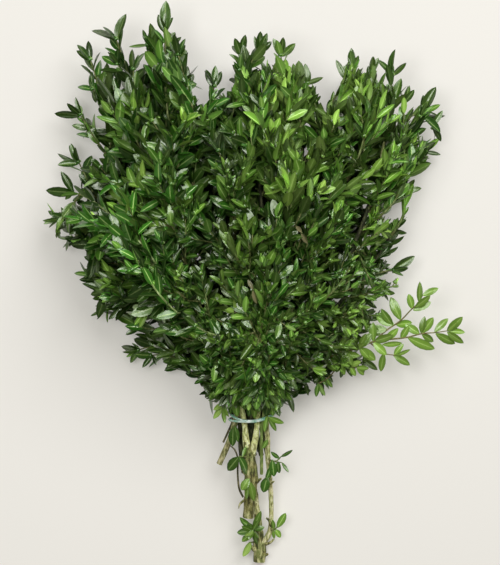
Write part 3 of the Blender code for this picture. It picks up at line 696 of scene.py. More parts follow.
@dataclass(frozen=True)
class LeafFinish:
    """Box leaf: glossy dark green above, matt and lighter below, with a pale midrib."""

    name: str = "box_leaf"
    upper: tuple = shade(40, 84, 20)
    upper_fresh: tuple = shade(128, 166, 64)
    under: tuple = shade(78, 118, 40)
    under_fresh: tuple = shade(158, 194, 86)
    rib: tuple = shade(186, 210, 132)
    rib_share: float = 0.39
    edge: tuple = shade(120, 146, 76)
    gloss: float = 0.24
    under_gloss: float = 0.52
    specular: float = 0.80
    shine: tuple = (0.80, 1.0, 0.58, 1.0)
    coat_ior: float = 1.62

    def make(self) -> bpy.types.Material:
        """Lay the material.

        Returns:
            The material, which reads the leaf's UV map and its tone, young and under layers.
        """
        s = Shading(self.name)
        uv = s.node("ShaderNodeUVMap", {"uv_map": "UVMap"}, {})
        along = s.node("ShaderNodeSeparateXYZ", {}, {0: uv}, output=1)
        from_rib = abs(along.output(0) - 0.5) * 2.0
        tone, young, under = (s.attribute(name) for name in LEAF_LAYERS)
        mottle = s.noise(420.0, 3.0)
        veins = (along * 44.0 - from_rib * 13.0).sine()
        upper = s.mix(young, self.upper, self.upper_fresh)
        lower = s.mix(young, self.under, self.under_fresh)
        base = s.mix(under, upper, lower)
        rib = (1.0 - from_rib.rise(0.04, 0.17)) * (1.0 - along.rise(0.75, 1.0) * 0.6)
        base = s.mix(rib * self.rib_share * (1.0 - under * 0.2), base, self.rib)
        base = s.mix(from_rib.rise(0.86, 1.0) * 0.20, base, self.edge)
        # the tone carries painted light and shade from the leaf's place
        tone_and_painted_sheen = (0.31 + tone * 1.56 + tone * tone * 0.46) * (1.0 - young * 0.18)
        # painted sheen: lighter along the midrib, with painted shade at the margins
        tone_and_painted_sheen = tone_and_painted_sheen * (1.24 - from_rib * 0.46)
        tone_and_painted_sheen = tone_and_painted_sheen + (mottle - 0.5) * 0.26 + veins * 0.035
        height = mottle * 0.3 + veins * 0.12 - rib * 0.8
        wax = mottle.rise(0.40, 0.58) * 0.6 + 0.4
        return s.surface({
            "Base Color": s.scaled(base, tone_and_painted_sheen),
            "Roughness": self.gloss + under * (self.under_gloss - self.gloss) + mottle * 0.10,
            "Specular IOR Level": self.specular,
            "Specular Tint": self.shine,
            "Coat Weight": (0.86 - young * 0.26) * (1.0 - under * 0.9) * wax,
            "Coat Roughness": 0.12,
            "Coat IOR": self.coat_ior,
            "Normal": s.bump(height, 0.35, 0.0003),
        })


@dataclass(frozen=True)
class BarkFinish:
    """Bark: a ground colour with darker cracks and paler worn patches."""

    name: str
    ground: tuple
    crack: tuple
    worn: tuple
    tint: tuple
    crack_share: float = 0.75
    lumps: float = 620.0
    relief: float = 0.0007

    def make(self) -> bpy.types.Material:
        """Lay the material.

        Returns:
            The material, which reads the piece's own space.
        """
        s = Shading(self.name)
        grain = s.noise(self.lumps, 6.0, (1.0, 0.28, 1.0))
        patches = s.noise(90.0, 4.0)
        fine = s.noise(1300.0, 3.0)
        pits = s.noise(1000.0, 2.0).rise(0.58, 0.68)
        cracks = 1.0 - grain.rise(0.40, 0.50)
        base = s.mix(patches.rise(0.40, 0.60), self.ground, self.tint)
        base = s.mix(grain.rise(0.52, 0.64) * 0.9, base, self.worn)
        base = s.mix(cracks * self.crack_share, base, self.crack)
        base = s.mix(pits * self.crack_share * 0.8, base, self.crack)
        height = grain * 0.8 + fine * 0.25 - pits * 0.3
        return s.surface({
            "Base Color": s.scaled(base, 0.74 + fine * 0.5),
            "Roughness": 0.78 + cracks * 0.12,
            "Normal": s.bump(height, 0.8, self.relief),
        })


@dataclass(frozen=True)
class CutWoodFinish:
    """The pale wood of a cut end."""

    name: str = "cut_wood"
    wood: tuple = shade(206, 190, 146)
    stain: tuple = shade(158, 136, 92)

    def make(self) -> bpy.types.Material:
        """Lay the material."""
        s = Shading(self.name)
        grain = s.noise(900.0, 4.0)
        return s.surface({
            "Base Color": s.mix(grain.rise(0.42, 0.66), self.wood, self.stain),
            "Roughness": 0.85,
        })


@dataclass(frozen=True)
class RubberFinish:
    """Thin clear-green rubber, stretched until it shines, with painted glints in pale patches."""

    name: str = "band_rubber"
    # painted glints: the pale colour of the band's light patches
    pale: tuple = shade(238, 252, 246)
    deep: tuple = shade(136, 194, 170)

    def make(self) -> bpy.types.Material:
        """Lay the material."""
        s = Shading(self.name)
        painted_glint_mask = s.noise(160.0, 2.0)
        return s.surface({
            "Base Color": s.mix(painted_glint_mask.rise(0.40, 0.60), self.deep, self.pale),
            "Roughness": 0.2,
            "Coat Weight": 0.8,
        })


GLOSSY_RAY = 3  # the output of the Light Path node for reflections; the camera's is the first


@dataclass(frozen=True)
class FloorFinish:
    """A pale matt floor, part of whose paleness the camera always sees."""

    colour: tuple
    glow: float
    name: str = "floor"

    def make(self) -> bpy.types.Material:
        """Lay the material."""
        s = Shading(self.name)
        matt = s.node("ShaderNodeBsdfDiffuse", {}, {"Color": self.colour})
        glow = s.node("ShaderNodeEmission", {}, {"Color": self.colour, "Strength": 1.0})
        path = s.node("ShaderNodeLightPath", {}, {})
        seen = (path + path.output(GLOSSY_RAY)) * self.glow
        both = s.node("ShaderNodeMixShader", {}, {0: seen, 1: matt, 2: glow})
        s.node("ShaderNodeOutputMaterial", {}, {"Surface": both})
        return s.material


BARK_FINISHES = (
    BarkFinish(
        "bark", shade(208, 203, 144), shade(104, 97, 55), shade(238, 231, 194),
        shade(184, 191, 124),
    ),
    BarkFinish(
        "arm_bark", shade(236, 240, 168), shade(124, 118, 68), shade(252, 252, 216),
        shade(214, 226, 146),
    ),
    BarkFinish(
        "dull_bark", shade(184, 178, 124), shade(84, 78, 44), shade(216, 208, 166),
        shade(158, 164, 104),
    ),
    BarkFinish(
        "trunk_bark", shade(140, 136, 78), shade(54, 50, 24), shade(206, 202, 148),
        shade(132, 142, 78), crack_share=0.85, lumps=420.0, relief=0.0013,
    ),
    BarkFinish(
        "green_bark", shade(126, 146, 74), shade(92, 104, 54), shade(164, 176, 112),
        shade(112, 138, 66), crack_share=0.35, relief=0.0002,
    ),
    BarkFinish(
        "dead_bark", shade(98, 94, 62), shade(52, 46, 30), shade(136, 128, 92),
        shade(84, 80, 50),
    ),
    # painted shade: a dark bark for the stems inside the bunch, which lie in shade
    BarkFinish(
        "inner_bark", shade(66, 68, 38), shade(34, 34, 20), shade(100, 102, 66),
        shade(50, 60, 30),
    ),
    BarkFinish(
        "sprig_bark", shade(122, 112, 66), shade(84, 72, 44), shade(156, 146, 98),
        shade(116, 118, 62), crack_share=0.4, relief=0.0001,
    ),
    BarkFinish(
        "pale_twig_bark", shade(140, 168, 96), shade(100, 118, 60), shade(186, 200, 144),
        shade(132, 150, 88), crack_share=0.4, relief=0.0001,
    ),
    BarkFinish(
        "twig_bark", shade(102, 122, 60), shade(72, 78, 38), shade(150, 160, 104),
        shade(110, 112, 62), crack_share=0.4, relief=0.0001,
    ),
)
DRY_LEAF = LeafFinish(
    "dry_leaf", shade(98, 92, 62), shade(124, 118, 84), shade(114, 108, 78),
    shade(132, 126, 96), shade(110, 102, 74), edge=shade(84, 76, 52), gloss=0.6,
)


# ------------------------------------------------------------------------------ shapes

LEAF_LAYERS = ("tone", "young", "under")


class Face(Enum):
    """Which side of a leaf looks up."""

    UPPER = 1.0
    UNDER = -1.0


@dataclass(frozen=True)
class LeafShape:
    """How a leaf is formed. Lengths are shares of its own length, angles are degrees."""

    width: float
    fold: float
    roll: float
    bend: float
    twist: float
    widest: float = 0.45


class LeafForm(Enum):
    """The forms that leaves are pressed in."""

    PLAIN = LeafShape(0.39, 22, 0.26, 18, 4)
    FLAT = LeafShape(0.41, 12, 0.16, 10, -6)
    FOLDED = LeafShape(0.38, 36, 0.16, 12, 8)
    BENT_BACK = LeafShape(0.38, 18, 0.32, 42, -5)
    CURVED_IN = LeafShape(0.36, 28, 0.14, -26, 6)
    TWISTED = LeafShape(0.38, 22, 0.24, 22, 26)
    TWISTED_BACK = LeafShape(0.37, 24, 0.26, 16, -28)
    BROAD = LeafShape(0.46, 15, 0.28, 20, 3, 0.5)
    SLENDER = LeafShape(0.30, 24, 0.18, 10, -4, 0.42)


CLOSED_FORMS = (
    LeafForm.FOLDED, LeafForm.CURVED_IN, LeafForm.SLENDER, LeafForm.TWISTED, LeafForm.BENT_BACK,
    LeafForm.PLAIN,
)


def blank_mould() -> bmesh.types.BMesh:
    """Start a bmesh that carries a UV map and the leaf layers."""
    bm = bmesh.new()
    bm.loops.layers.uv.new("UVMap")
    for layer in LEAF_LAYERS:
        bm.faces.layers.float.new(layer)
    return bm


def finished_mesh(name: str, bm: bmesh.types.BMesh) -> bpy.types.Mesh:
    """Turn a finished bmesh into a mesh, and free it."""
    mesh = bpy.data.meshes.new(name)
    bm.to_mesh(mesh)
    bm.free()
    return mesh


def put_in_scene(made: bpy.types.Object) -> bpy.types.Object:
    """Link a new object to the scene, and return it."""
    bpy.context.scene.collection.objects.link(made)
    return made


@dataclass(frozen=True)
class LeafMould:
    """Presses one form of leaf, one unit long from its base at the origin along +Y."""

    shape: LeafShape
    across: int = 4
    along: int = 6
    thickness: float = 0.022
    rib_depth: float = 0.014

    def half_width(self, share: float) -> float:
        """Half the leaf's width at a share of its length."""
        if share < self.shape.widest:
            rise = math.sin(math.pi / 2 * share / self.shape.widest)
            full = 0.13 + 0.87 * rise ** 0.85
        else:
            fall = (share - self.shape.widest) / (1 - self.shape.widest)
            full = max(0.0, 1 - fall ** 2.2) ** 0.80
        return self.shape.width / 2 * full

    def formed(self, across: float, share: float, under: bool) -> Vector:
        """Where a point of the flat leaf goes.

        Args:
            across: The point's place across the leaf, -1 to 1.
            share: Its place along the leaf, 0 to 1.
            under: Whether it is on the lower side.

        Returns:
            The point on the folded, bent and twisted leaf.
        """
        shape = self.shape
        half = self.half_width(share)
        reach = abs(across)
        height = half * (math.tan(math.radians(shape.fold)) * reach - shape.roll * reach**2)
        belly = (1 - reach**2) * math.sin(math.pi * share) ** 0.6 if 0 < share < 1 else 0.0
        height -= self.rib_depth * max(0.0, 1 - 2.2 * reach) * belly
        if under:
            height -= self.thickness * belly
        bend = math.radians(shape.bend) or 1e-4
        along = math.sin(bend * share) / bend
        drop = (1 - math.cos(bend * share)) / bend
        turn = Quaternion((0, 1, 0), math.radians(shape.twist) * share)
        return turn @ Vector((across * half, 0, height)) + Vector((0, along, -drop))

    def press(self, name: str) -> bpy.types.Mesh:
        """Make the leaf: a shaped upper side and a thicker lower one, closed at the rim.

        Args:
            name: The mesh's name.

        Returns:
            The mesh, with a UV map and the leaf layers.
        """
        bm = blank_mould()
        bmesh.ops.create_grid(
            bm, x_segments=self.across, y_segments=self.along, size=0.5, calc_uvs=True
        )
        upper = set(bm.verts)
        bmesh.ops.duplicate(bm, geom=[*bm.verts, *bm.edges, *bm.faces])
        under = bm.faces.layers.float["under"]
        for face in bm.faces:
            face[under] = float(face.verts[0] not in upper)
            face.smooth = True
        for vertex in bm.verts:
            flat = vertex.co.copy()
            even = flat.y + 0.5
            share = 0.45 * even + 0.55 * (1 - math.cos(math.pi * even)) / 2
            vertex.co = self.formed(flat.x * 2, share, vertex not in upper)
        bmesh.ops.remove_doubles(bm, verts=bm.verts, dist=1e-4)
        bmesh.ops.recalc_face_normals(bm, faces=bm.faces)
        for edge in bm.edges:
            edge.smooth = len({face[under] for face in edge.link_faces}) == 1
        return finished_mesh(name, bm)


def press_bud() -> bpy.types.Mesh:
    """Make a bud, one unit long along +Y."""
    bm = blank_mould()
    bmesh.ops.create_uvsphere(bm, u_segments=6, v_segments=4, radius=0.5, calc_uvs=True)
    for vertex in bm.verts:
        share = vertex.co.z + 0.5
        vertex.co = Vector((vertex.co.x * (1.3 - share), share, vertex.co.y * (1.3 - share)))
    bmesh.ops.recalc_face_normals(bm, faces=bm.faces)
    for face in bm.faces:
        face.smooth = True
    return finished_mesh("bud_mould", bm)


def finished_object(name: str, bm: bmesh.types.BMesh, materials: tuple) -> bpy.types.Object:
    """Turn a finished bmesh into an object of the scene.

    Args:
        name: The object's name.
        bm: What it is made from, which is freed.
        materials: Its materials, in the order of the faces' numbers.

    Returns:
        The object, at the origin.
    """
    mesh = finished_mesh(name, bm)
    for material in materials:
        mesh.materials.append(material)
    return put_in_scene(bpy.data.objects.new(name, mesh))


class Foliage:
    """Leaves and buds, gathered into one mesh."""

    def __init__(self, moulds: dict) -> None:
        """Start with no leaves.

        Args:
            moulds: The pressed leaves by their LeafForm, and the bud under None.
        """
        self.moulds = moulds
        self.bm = bmesh.new()
        self.count = 0

    def add(self, form: LeafForm | None, place: Matrix, tone: float, young: float) -> None:
        """Add a leaf, or a bud.

        Args:
            form: The leaf's form, or None for a bud.
            place: Where it goes, in millimetres.
            tone: How light it is among its like, with its place's painted light and shade, 0 to 1.
            young: How far it is from dark to fresh green, 0 to 1.
        """
        old_verts, old_faces = len(self.bm.verts), len(self.bm.faces)
        self.bm.from_mesh(self.moulds[form])
        self.bm.verts.ensure_lookup_table()
        self.bm.faces.ensure_lookup_table()
        fresh = self.bm.verts[old_verts:]
        bmesh.ops.transform(self.bm, matrix=place, verts=fresh)
        lift = 0.3 - min(vertex.co.z for vertex in fresh)
        if lift > 0:
            bmesh.ops.translate(self.bm, vec=UP * lift, verts=fresh)
        tones, ages = (self.bm.faces.layers.float[name] for name in LEAF_LAYERS[:2])
        for face in self.bm.faces[old_faces:]:
            face[tones] = tone
            face[ages] = young
        self.count += 1

    def finish(self, name: str, material: bpy.types.Material) -> bpy.types.Object:
        """Make the object, in metres."""
        bmesh.ops.scale(self.bm, vec=(MM, MM, MM), verts=self.bm.verts)
        return finished_object(name, self.bm, (material,))


class Tubes:
    """Twigs or stems, gathered into one mesh."""

    def __init__(self) -> None:
        """Start with none."""
        self.bm = bmesh.new()

    def add(self, route: Route, sides: int, spacing: float, lumps: Any = None) -> tuple:
        """Extrude a closed tube along a route.

        Args:
            route: The tube's axis and radius.
            sides: How many sides it has.
            spacing: The distance between its rings.
            lumps: What multiplies the radius, from the turn and the distance, if anything.

        Returns:
            The faces at its start and its end.
        """
        count = max(1, round(route.length / spacing))
        made = bmesh.ops.create_cone(
            self.bm, cap_ends=True, cap_tris=False, segments=sides, radius1=1, radius2=1, depth=2
        )
        turns = {v: math.atan2(v.co.y, v.co.x) for v in made["verts"]}
        low = [v for v in made["verts"] if v.co.z < 0]
        caps = [
            next(f for f in v.link_faces if len({w.co.z for w in f.verts}) == 1)
            for v in (low[0], next(v for v in made["verts"] if v.co.z > 0))
        ]
        start, cap = caps
        frame = [None, None]
        self._ring(low, [turns[v] for v in low], route, 0.0, frame, lumps)
        order = [turns[v] for v in cap.verts]
        self._ring(list(cap.verts), order, route, route.length / count, frame, lumps)
        for index in range(2, count + 1):
            cap = bmesh.ops.extrude_discrete_faces(self.bm, faces=[cap])["faces"][0]
            distance = route.length * index / count
            self._ring(list(cap.verts), order, route, distance, frame, lumps)
        return start, cap

    def _ring(
        self, ring: list, turns: list[float], route: Route, distance: float, frame: list, lumps: Any
    ) -> None:
        """Place one ring of a tube, and carry its frame on.

        Args:
            ring: The ring's vertices.
            turns: Each vertex's angle about the route.
            route: The tube's route.
            distance: The ring's distance along it.
            frame: The last ring's heading and side, which are brought up to date.
            lumps: What multiplies the radius, if anything.
        """
        centre, heading, radius = route.at(distance)
        side = square_to(heading)
        if frame[0] is not None:
            side = frame[0].rotation_difference(heading) @ frame[1]
            side = (side - heading * side.dot(heading)).normalized()
        frame[:] = heading, side
        other = heading.cross(side)
        for vertex, turn in zip(ring, turns):
            reach = radius * (lumps(turn, distance) if lumps else 1.0)
            place = centre + (side * math.cos(turn) + other * math.sin(turn)) * reach
            place.z = max(place.z, 0.05)
            vertex.co = place

    def finish(self, name: str, materials: tuple) -> bpy.types.Object:
        """Make the object, in metres, with its faces outwards."""
        for face in self.bm.faces:
            face.smooth = len(face.verts) == 4
        for edge in self.bm.edges:
            edge.smooth = all(face.smooth for face in edge.link_faces)
        bmesh.ops.recalc_face_normals(self.bm, faces=self.bm.faces)
        bmesh.ops.scale(self.bm, vec=(MM, MM, MM), verts=self.bm.verts)
        return finished_object(name, self.bm, materials)


# ------------------------------------------------------------------------------ growth


@dataclass(frozen=True)
class Nature:
    """How leaves differ over the bunch, and the light and shade painted on them."""

    fresh: tuple = (
        Patch(24, 135, 26, 50, 0.40), Patch(-28, 85, 7, 12, 0.35), Patch(-8, 28, 7, 30, 0.28),
        Patch(30, 70, 12, 18, 0.32), Patch(88, 150, 34, 50, 0.22), Patch(120, 92, 24, 40, 0.18),
        Patch(90, -50, 30, 26, 0.55), Patch(-75, 48, 12, 10, 0.25), Patch(-35, 20, 10, 10, 0.3),
        Patch(64, 0, 20, 30, 0.20),
    )
    turned: tuple = (
        Patch(30, 130, 48, 70, 0.08), Patch(-10, 30, 10, 30, 0.20), Patch(90, 140, 40, 70, 0.06),
    )
    dark: float = 0.05
    turned_anywhere: float = 0.03
    most_turned: float = 0.7
    lightest: float = 1.25
    # painted light and shade: patches where leaves are painted lighter, or darker below zero
    painted_light: tuple = (
        Patch(-110, 0, 34, 46, 0.45), Patch(15, 140, 16, 45, 0.4), Patch(-20, 38, 13, 20, -0.6),
        Patch(-22, 112, 14, 16, -0.4), Patch(50, 108, 14, 14, -0.3), Patch(90, 45, 26, 40, 0.3),
        Patch(128, 70, 18, 40, 0.2), Patch(150, 120, 16, 26, 0.35), Patch(-100, -40, 30, 20, 0.2),
        Patch(-92, 208, 24, 24, -0.4), Patch(120, 178, 18, 20, 0.4), Patch(84, 112, 16, 22, 0.35),
        Patch(-126, 108, 18, 18, 0.3), Patch(-60, -66, 20, 16, 0.35), Patch(50, 72, 18, 20, 0.35),
        Patch(-124, 143, 16, 16, -0.2), Patch(-124, 73, 16, 14, -0.3),
        Patch(-90, 108, 14, 16, -0.35), Patch(122, 38, 14, 20, 0.3), Patch(84, -62, 24, 14, 0.3),
        Patch(112, 110, 50, 90, 0.22), Patch(-94, 52, 30, 34, 0.40), Patch(-61, 149, 9, 10, -0.6),
    )
    small: tuple = (
        Patch(88, 2, 50, 58, 0.42), Patch(20, -50, 44, 36, 0.16), Patch(-42, 15, 38, 60, 0.30),
        Patch(-120, -10, 50, 30, 0.12),
    )
    longest: float = 24.0
    shortest: float = 16.0
    painted_shade_deepest: float = 0.16  # painted shade: how light the leaves deep inside are kept, at least

    def freshness(self, place: Vector) -> float:
        """How fresh the leaves are at a place, 0 to 1."""
        return min(1.0, self.dark + sum(patch.at(place) for patch in self.fresh))

    def turned_share(self, place: Vector) -> float:
        """The share of leaves that show their under side."""
        return min(self.most_turned, self.turned_anywhere + sum(patch.at(place) for patch in self.turned))

    def closed(self, place: Vector) -> float:
        """How far leaves close up along their shoots, 0 to 1."""
        return held((place.x - 70) / 50) * held((place.y + 20) / 40)

    def swept(self, place: Vector) -> float:
        """How far leaves lie along their shoots instead of facing up, 0 to 1."""
        return held((place.x + 25) / 45) * held((place.y + 30) / 60)

    def light(self, place: Vector, envelope: Envelope) -> float:
        """Painted light and shade at a place: lighter where leaves stand well out, darker deep inside."""
        painted_light = 1 + sum(patch.at(place) for patch in self.painted_light)
        if envelope.outwards(place) > 0.92:
            return painted_light
        depth = (place.z / envelope.dome(place) - 0.52) / 0.42
        return painted_light * (self.painted_shade_deepest + (1 - self.painted_shade_deepest) * held(depth))

    def leaf_length(self, place: Vector) -> float:
        """The length of a full leaf at a place."""
        rise = held((place.y + 70) / 110)
        left = held((-place.x - 10) / 60)
        share = max(rise * 0.82 + left * 0.18, left * 0.8)
        full = self.shortest + (self.longest - self.shortest) * share
        return full * (1 - max(patch.at(place) for patch in self.small))


@dataclass(frozen=True)
class Habit:
    """How a shoot carries its leaves and side shoots."""

    bare: float = 5.0
    pair_gap: float = 8.6
    spread: float = 40.0
    side_shoots: float = 0.62
    side_reach: float = 40.0
    side_angle: float = 42.0
    size: float = 1.0
    free: float = 2.0  # the share of the shoot from which leaves may leave the outline
    crowned: bool = True
    pale: bool = False  # whether its bark is pale


PALE_SLOT = 1  # the material slot of a pale shoot's bark


class Growth:
    """Grows one piece's shoots."""

    def __init__(self, name: str, moulds: dict, envelope: Envelope, nature: Nature) -> None:
        """Start a piece.

        Args:
            name: The piece's name, which also seeds its chances.
            moulds: The pressed leaves.
            envelope: The room that the foliage fills.
            nature: How the leaves differ over the bunch.
        """
        self.chance = random.Random(name)
        self.leaves = Foliage(moulds)
        self.twigs = Tubes()
        self.envelope = envelope
        self.nature = nature

    def wander(self, amount: float) -> Vector:
        """A small random step."""
        return Vector([self.chance.uniform(-amount, amount) for _ in range(3)])

    def leaf(
        self, base: Vector, axis: Vector, up: Vector, size: tuple[float, float],
        colour: tuple[float, float], form: LeafForm | None,
    ) -> None:
        """Place one leaf or bud.

        Args:
            base: Where it starts.
            axis: Which way it points.
            up: Which way its upper side looks, roughly.
            size: Its width, as a share of the mould's, and its length.
            colour: Its tone and how young it is.
            form: The leaf's form, or None for a bud.
        """
        normal = (up - axis * up.dot(axis)).normalized()
        width, length = size
        turned = Matrix((axis.cross(normal), axis, normal)).transposed().to_4x4()
        scaled = Matrix.Diagonal((width * length, length, length, 1))
        self.leaves.add(form, Matrix.Translation(base) @ turned @ scaled, *colour)

    def grown_leaf(
        self, base: Vector, heading: Vector, outward: Vector, spread: float, length: float,
        fresh: float, free: bool,
    ) -> None:
        """Grow a leaf out of a shoot, if there is room for it.

        Args:
            base: The node it grows from.
            heading: The shoot's heading there.
            outward: The side of the shoot that it grows from.
            spread: The angle between it and the shoot, in degrees.
            length: Its length.
            fresh: How fresh the shoot's leaves are.
            free: Whether it may leave the outline.
        """
        for closer, shorter in ((1.0, 1.0), (0.55, 0.95), (0.25, 0.8), (0.15, 0.6)):
            angle = math.radians(spread * closer)
            axis = heading * math.cos(angle) + outward * math.sin(angle)
            axis = (axis + self.wander(0.13)).normalized()
            tip = self.envelope.eased(base + axis * (length * shorter))
            if free or self.envelope.holds(tip):
                break
        length *= shorter
        middle = base.lerp(tip, 0.5)
        if self.envelope.sunk(middle) > 0.15 + 0.6 * self.chance.random():
            if middle.z > self.envelope.roof(middle) + 4:
                return
        axis = (tip - base).normalized()
        swept = self.nature.swept(base)
        turned = self.chance.random() < self.nature.turned_share(base) + 0.15 * swept * outward.z
        facing = Face.UNDER if turned else Face.UPPER
        natural = heading * math.sin(angle) - outward * math.cos(angle)
        up = UP * ((0.85 - 0.4 * swept) * facing.value) + natural * 0.6 + self.wander(0.5)
        width = self.chance.uniform(0.86, 1.14)
        width *= 1 - 0.18 * self.nature.closed(base)
        young = held(self.chance.gauss(fresh, 0.12))
        form = self.chance.choice(list(LeafForm))
        # the painted light and shade of the place, which the leaf's tone carries
        light = self.nature.light(base, self.envelope)
        tone = min(self.nature.lightest, self.chance.random() ** 1.6 * light)
        self.leaf(base, axis, up, (width, length), (tone, young), form)

    def shoot(self, route: Route, habit: Habit, fresh: float | None = None, depth: int = 0) -> None:
        """Grow a shoot with its leaf pairs, and side shoots if it is a main one.

        Args:
            route: The shoot's axis.
            habit: How it carries its leaves.
            fresh: How fresh its leaves are, or None to let the place say.
            depth: 0 for a main shoot, more for side shoots.
        """
        old = len(self.twigs.bm.faces)
        self.twigs.add(route, 5, 6.0)
        self.twigs.bm.faces.ensure_lookup_table()
        for face in self.twigs.bm.faces[old:] if habit.pale else ():
            face.material_index = PALE_SLOT
        crowded = 0.42 + 0.58 * self.nature.leaf_length(route.at(route.length)[0]) / 21
        count = max(1, round((route.length - habit.bare) / (habit.pair_gap * crowded)))
        gap = (route.length - habit.bare) / count
        roll = self.chance.uniform(0, math.pi)
        shift = self.chance.gauss(0, 0.18)
        heading, side = None, None
        for index in range(count + 1):
            distance = habit.bare + gap * index
            place, ahead, _ = route.at(distance)
            if side is None:
                side = square_to(ahead)
            else:
                side = heading.rotation_difference(ahead) @ side
            heading = ahead
            share = distance / route.length
            turn = roll + index * math.pi / 2 + self.chance.uniform(-0.25, 0.25)
            mean = self.nature.freshness(place) if fresh is None else fresh
            mean += shift + 0.10 * share
            full = self.nature.leaf_length(place) * habit.size
            length = full * (0.74 + 0.32 * math.sin(math.pi * min(1.0, share * 1.05)))
            spread = habit.spread * (1.2 - 0.5 * share) * (1 - 0.36 * self.nature.swept(place))
            spread *= 1 - 0.35 * self.nature.closed(place)
            for half in (0.0, math.pi):
                outward = Quaternion(heading, turn + half) @ side
                lean = spread + self.chance.gauss(0, 7)
                size = length * self.chance.uniform(0.85, 1.1)
                self.grown_leaf(place, heading, outward, lean, size, mean, share > habit.free)
                branching = depth == 0 and index > 0 and share < 0.72 and abs(outward.z) < 0.8
                if branching and self.chance.random() < habit.side_shoots:
                    self.side_shoot(place, heading, outward, route.length - distance, habit, fresh)
        if habit.crowned:
            self.crown(route, heading, side, roll, habit, fresh, shift)

    def crown(
        self, route: Route, heading: Vector, side: Vector, roll: float, habit: Habit,
        fresh: float | None, shift: float,
    ) -> None:
        """Close a shoot with an open pair, a small upright pair and a bud.

        Args:
            route: The shoot's axis.
            heading: Its heading at the tip.
            side: The side from which turns are counted.
            roll: The turn of its first pair; not used.
            habit: How it carries its leaves.
            fresh: How fresh its leaves are, or None to let the place say.
            shift: What the shoot adds to that.
        """
        tip = route.at(route.length)[0]
        mean = (self.nature.freshness(tip) if fresh is None else fresh) + shift + 0.18
        full = self.nature.leaf_length(tip) * habit.size
        turn = self.chance.uniform(-0.7, 0.7)
        for quarter, least, spread in ((0, 0.66, 24), (2, 0.66, 24), (1, 0.36, 12), (3, 0.36, 12)):
            outward = Quaternion(heading, turn + quarter * math.pi / 2) @ side
            size = full * self.chance.uniform(least, least + 0.24)
            lean = spread * self.chance.uniform(0.6, 1.4)
            self.grown_leaf(tip, heading, outward, lean, size, mean, habit.free < 1)
        self.leaf(tip, heading, UP, (1.5, 4.0), (0.6, held(mean)), None)

    def side_shoot(
        self, place: Vector, heading: Vector, outward: Vector, left: float, habit: Habit,
        fresh: float | None,
    ) -> None:
        """Grow a side shoot out of a leaf's armpit, if there is room for it.

        Args:
            place: The node.
            heading: The main shoot's heading there.
            outward: The side it grows from.
            left: How much of the main shoot is left.
            habit: The main shoot's habit.
            fresh: How fresh its leaves are, or None to let the place say.
        """
        length = min(habit.side_reach, left * 0.55 + 9) * self.chance.uniform(0.7, 1.08)
        angle = habit.side_angle * (1 - 0.35 * self.nature.swept(place))
        angle = math.radians(angle + self.chance.gauss(0, 8))
        away = heading * math.cos(angle) + outward * math.sin(angle)
        away.z *= 0.5
        for shorter in (1.0, 0.75, 0.5):
            reach = length * shorter
            middle = place + away * (reach * 0.5)
            end = place + (away * 0.82 + heading * 0.22).normalized() * reach + self.wander(2.5)
            end = self.envelope.eased(end, 6.0)
            if reach > 12 and self.envelope.holds(end, 1.09):
                break
        else:
            return
        stops = ((*place, 0.62), (*middle, 0.52), (*end, 0.36))
        inner = Habit(bare=5.0, pair_gap=7.4, spread=38, size=habit.size * 0.9)
        self.shoot(Route.through(stops, 3), inner, fresh, depth=1)

    def spear(self, spear: Spear, route: Route) -> None:
        """Grow a shoot that stands out.

        Args:
            spear: The shoot's end.
            route: Its axis.
        """
        bare = max(9.0, route.length - 66)
        habit = Habit(bare=bare, pair_gap=9.0, side_shoots=0.0, free=0.0, crowned=False)
        if spear.via:
            bare = route.length * 0.15
            habit = replace(habit, bare=bare, pair_gap=11.0, spread=46.0, size=1.0, pale=True)
        self.shoot(route, habit, -0.4 if spear.via else None)
        self.spear_end(spear, route)

    def spear_end(self, spear: Spear, route: Route) -> None:
        """Put a spear's last leaves where they belong.

        Args:
            spear: The shoot's end.
            route: Its axis.
        """
        joint, heading, _ = route.at(route.length)
        young = self.nature.freshness(joint)
        for x, y in spear.tips:
            arm = Vector((x, y, joint.z + self.chance.uniform(-3, 5))) - joint
            form = self.chance.choice(CLOSED_FORMS)
            size = (self.chance.uniform(0.86, 1.04), arm.length)
            colour = (self.chance.uniform(0.0, 0.35), min(1.0, young + self.chance.uniform(0, 0.2)))
            self.leaf(joint, arm.normalized(), UP + self.wander(0.7), size, colour, form)
        self.leaf(joint, heading, UP, (1.5, 4.5), (0.6, young), None)

    def finish(
        self, name: str, node: str | None, slot: str, finishes: dict,
        own: tuple[str, str] = ("box_leaf", "twig_bark"),
    ) -> list:
        """Make the piece's leaves and twigs.

        Args:
            name: What the two objects' names start with.
            node: The CAD node that the leaves stand for, if any.
            slot: The record's material slot of the leaves; not used.
            finishes: The materials by name.
            own: The names of the leaves' finish and the twigs' one.

        Returns:
            The leaves' object and the twigs' one.
        """
        count = self.leaves.count
        leaves = self.leaves.finish(f"{name}_leaves", finishes[own[0]])
        barks = (finishes[own[1]], finishes["pale_twig_bark"])
        twigs = self.twigs.finish(f"{name}_twigs", barks)
        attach(leaves, "root")
        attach(twigs, "root")
        if node:
            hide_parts(node)
        log.info("%s: %d leaves", name, count)
        return [leaves, twigs]


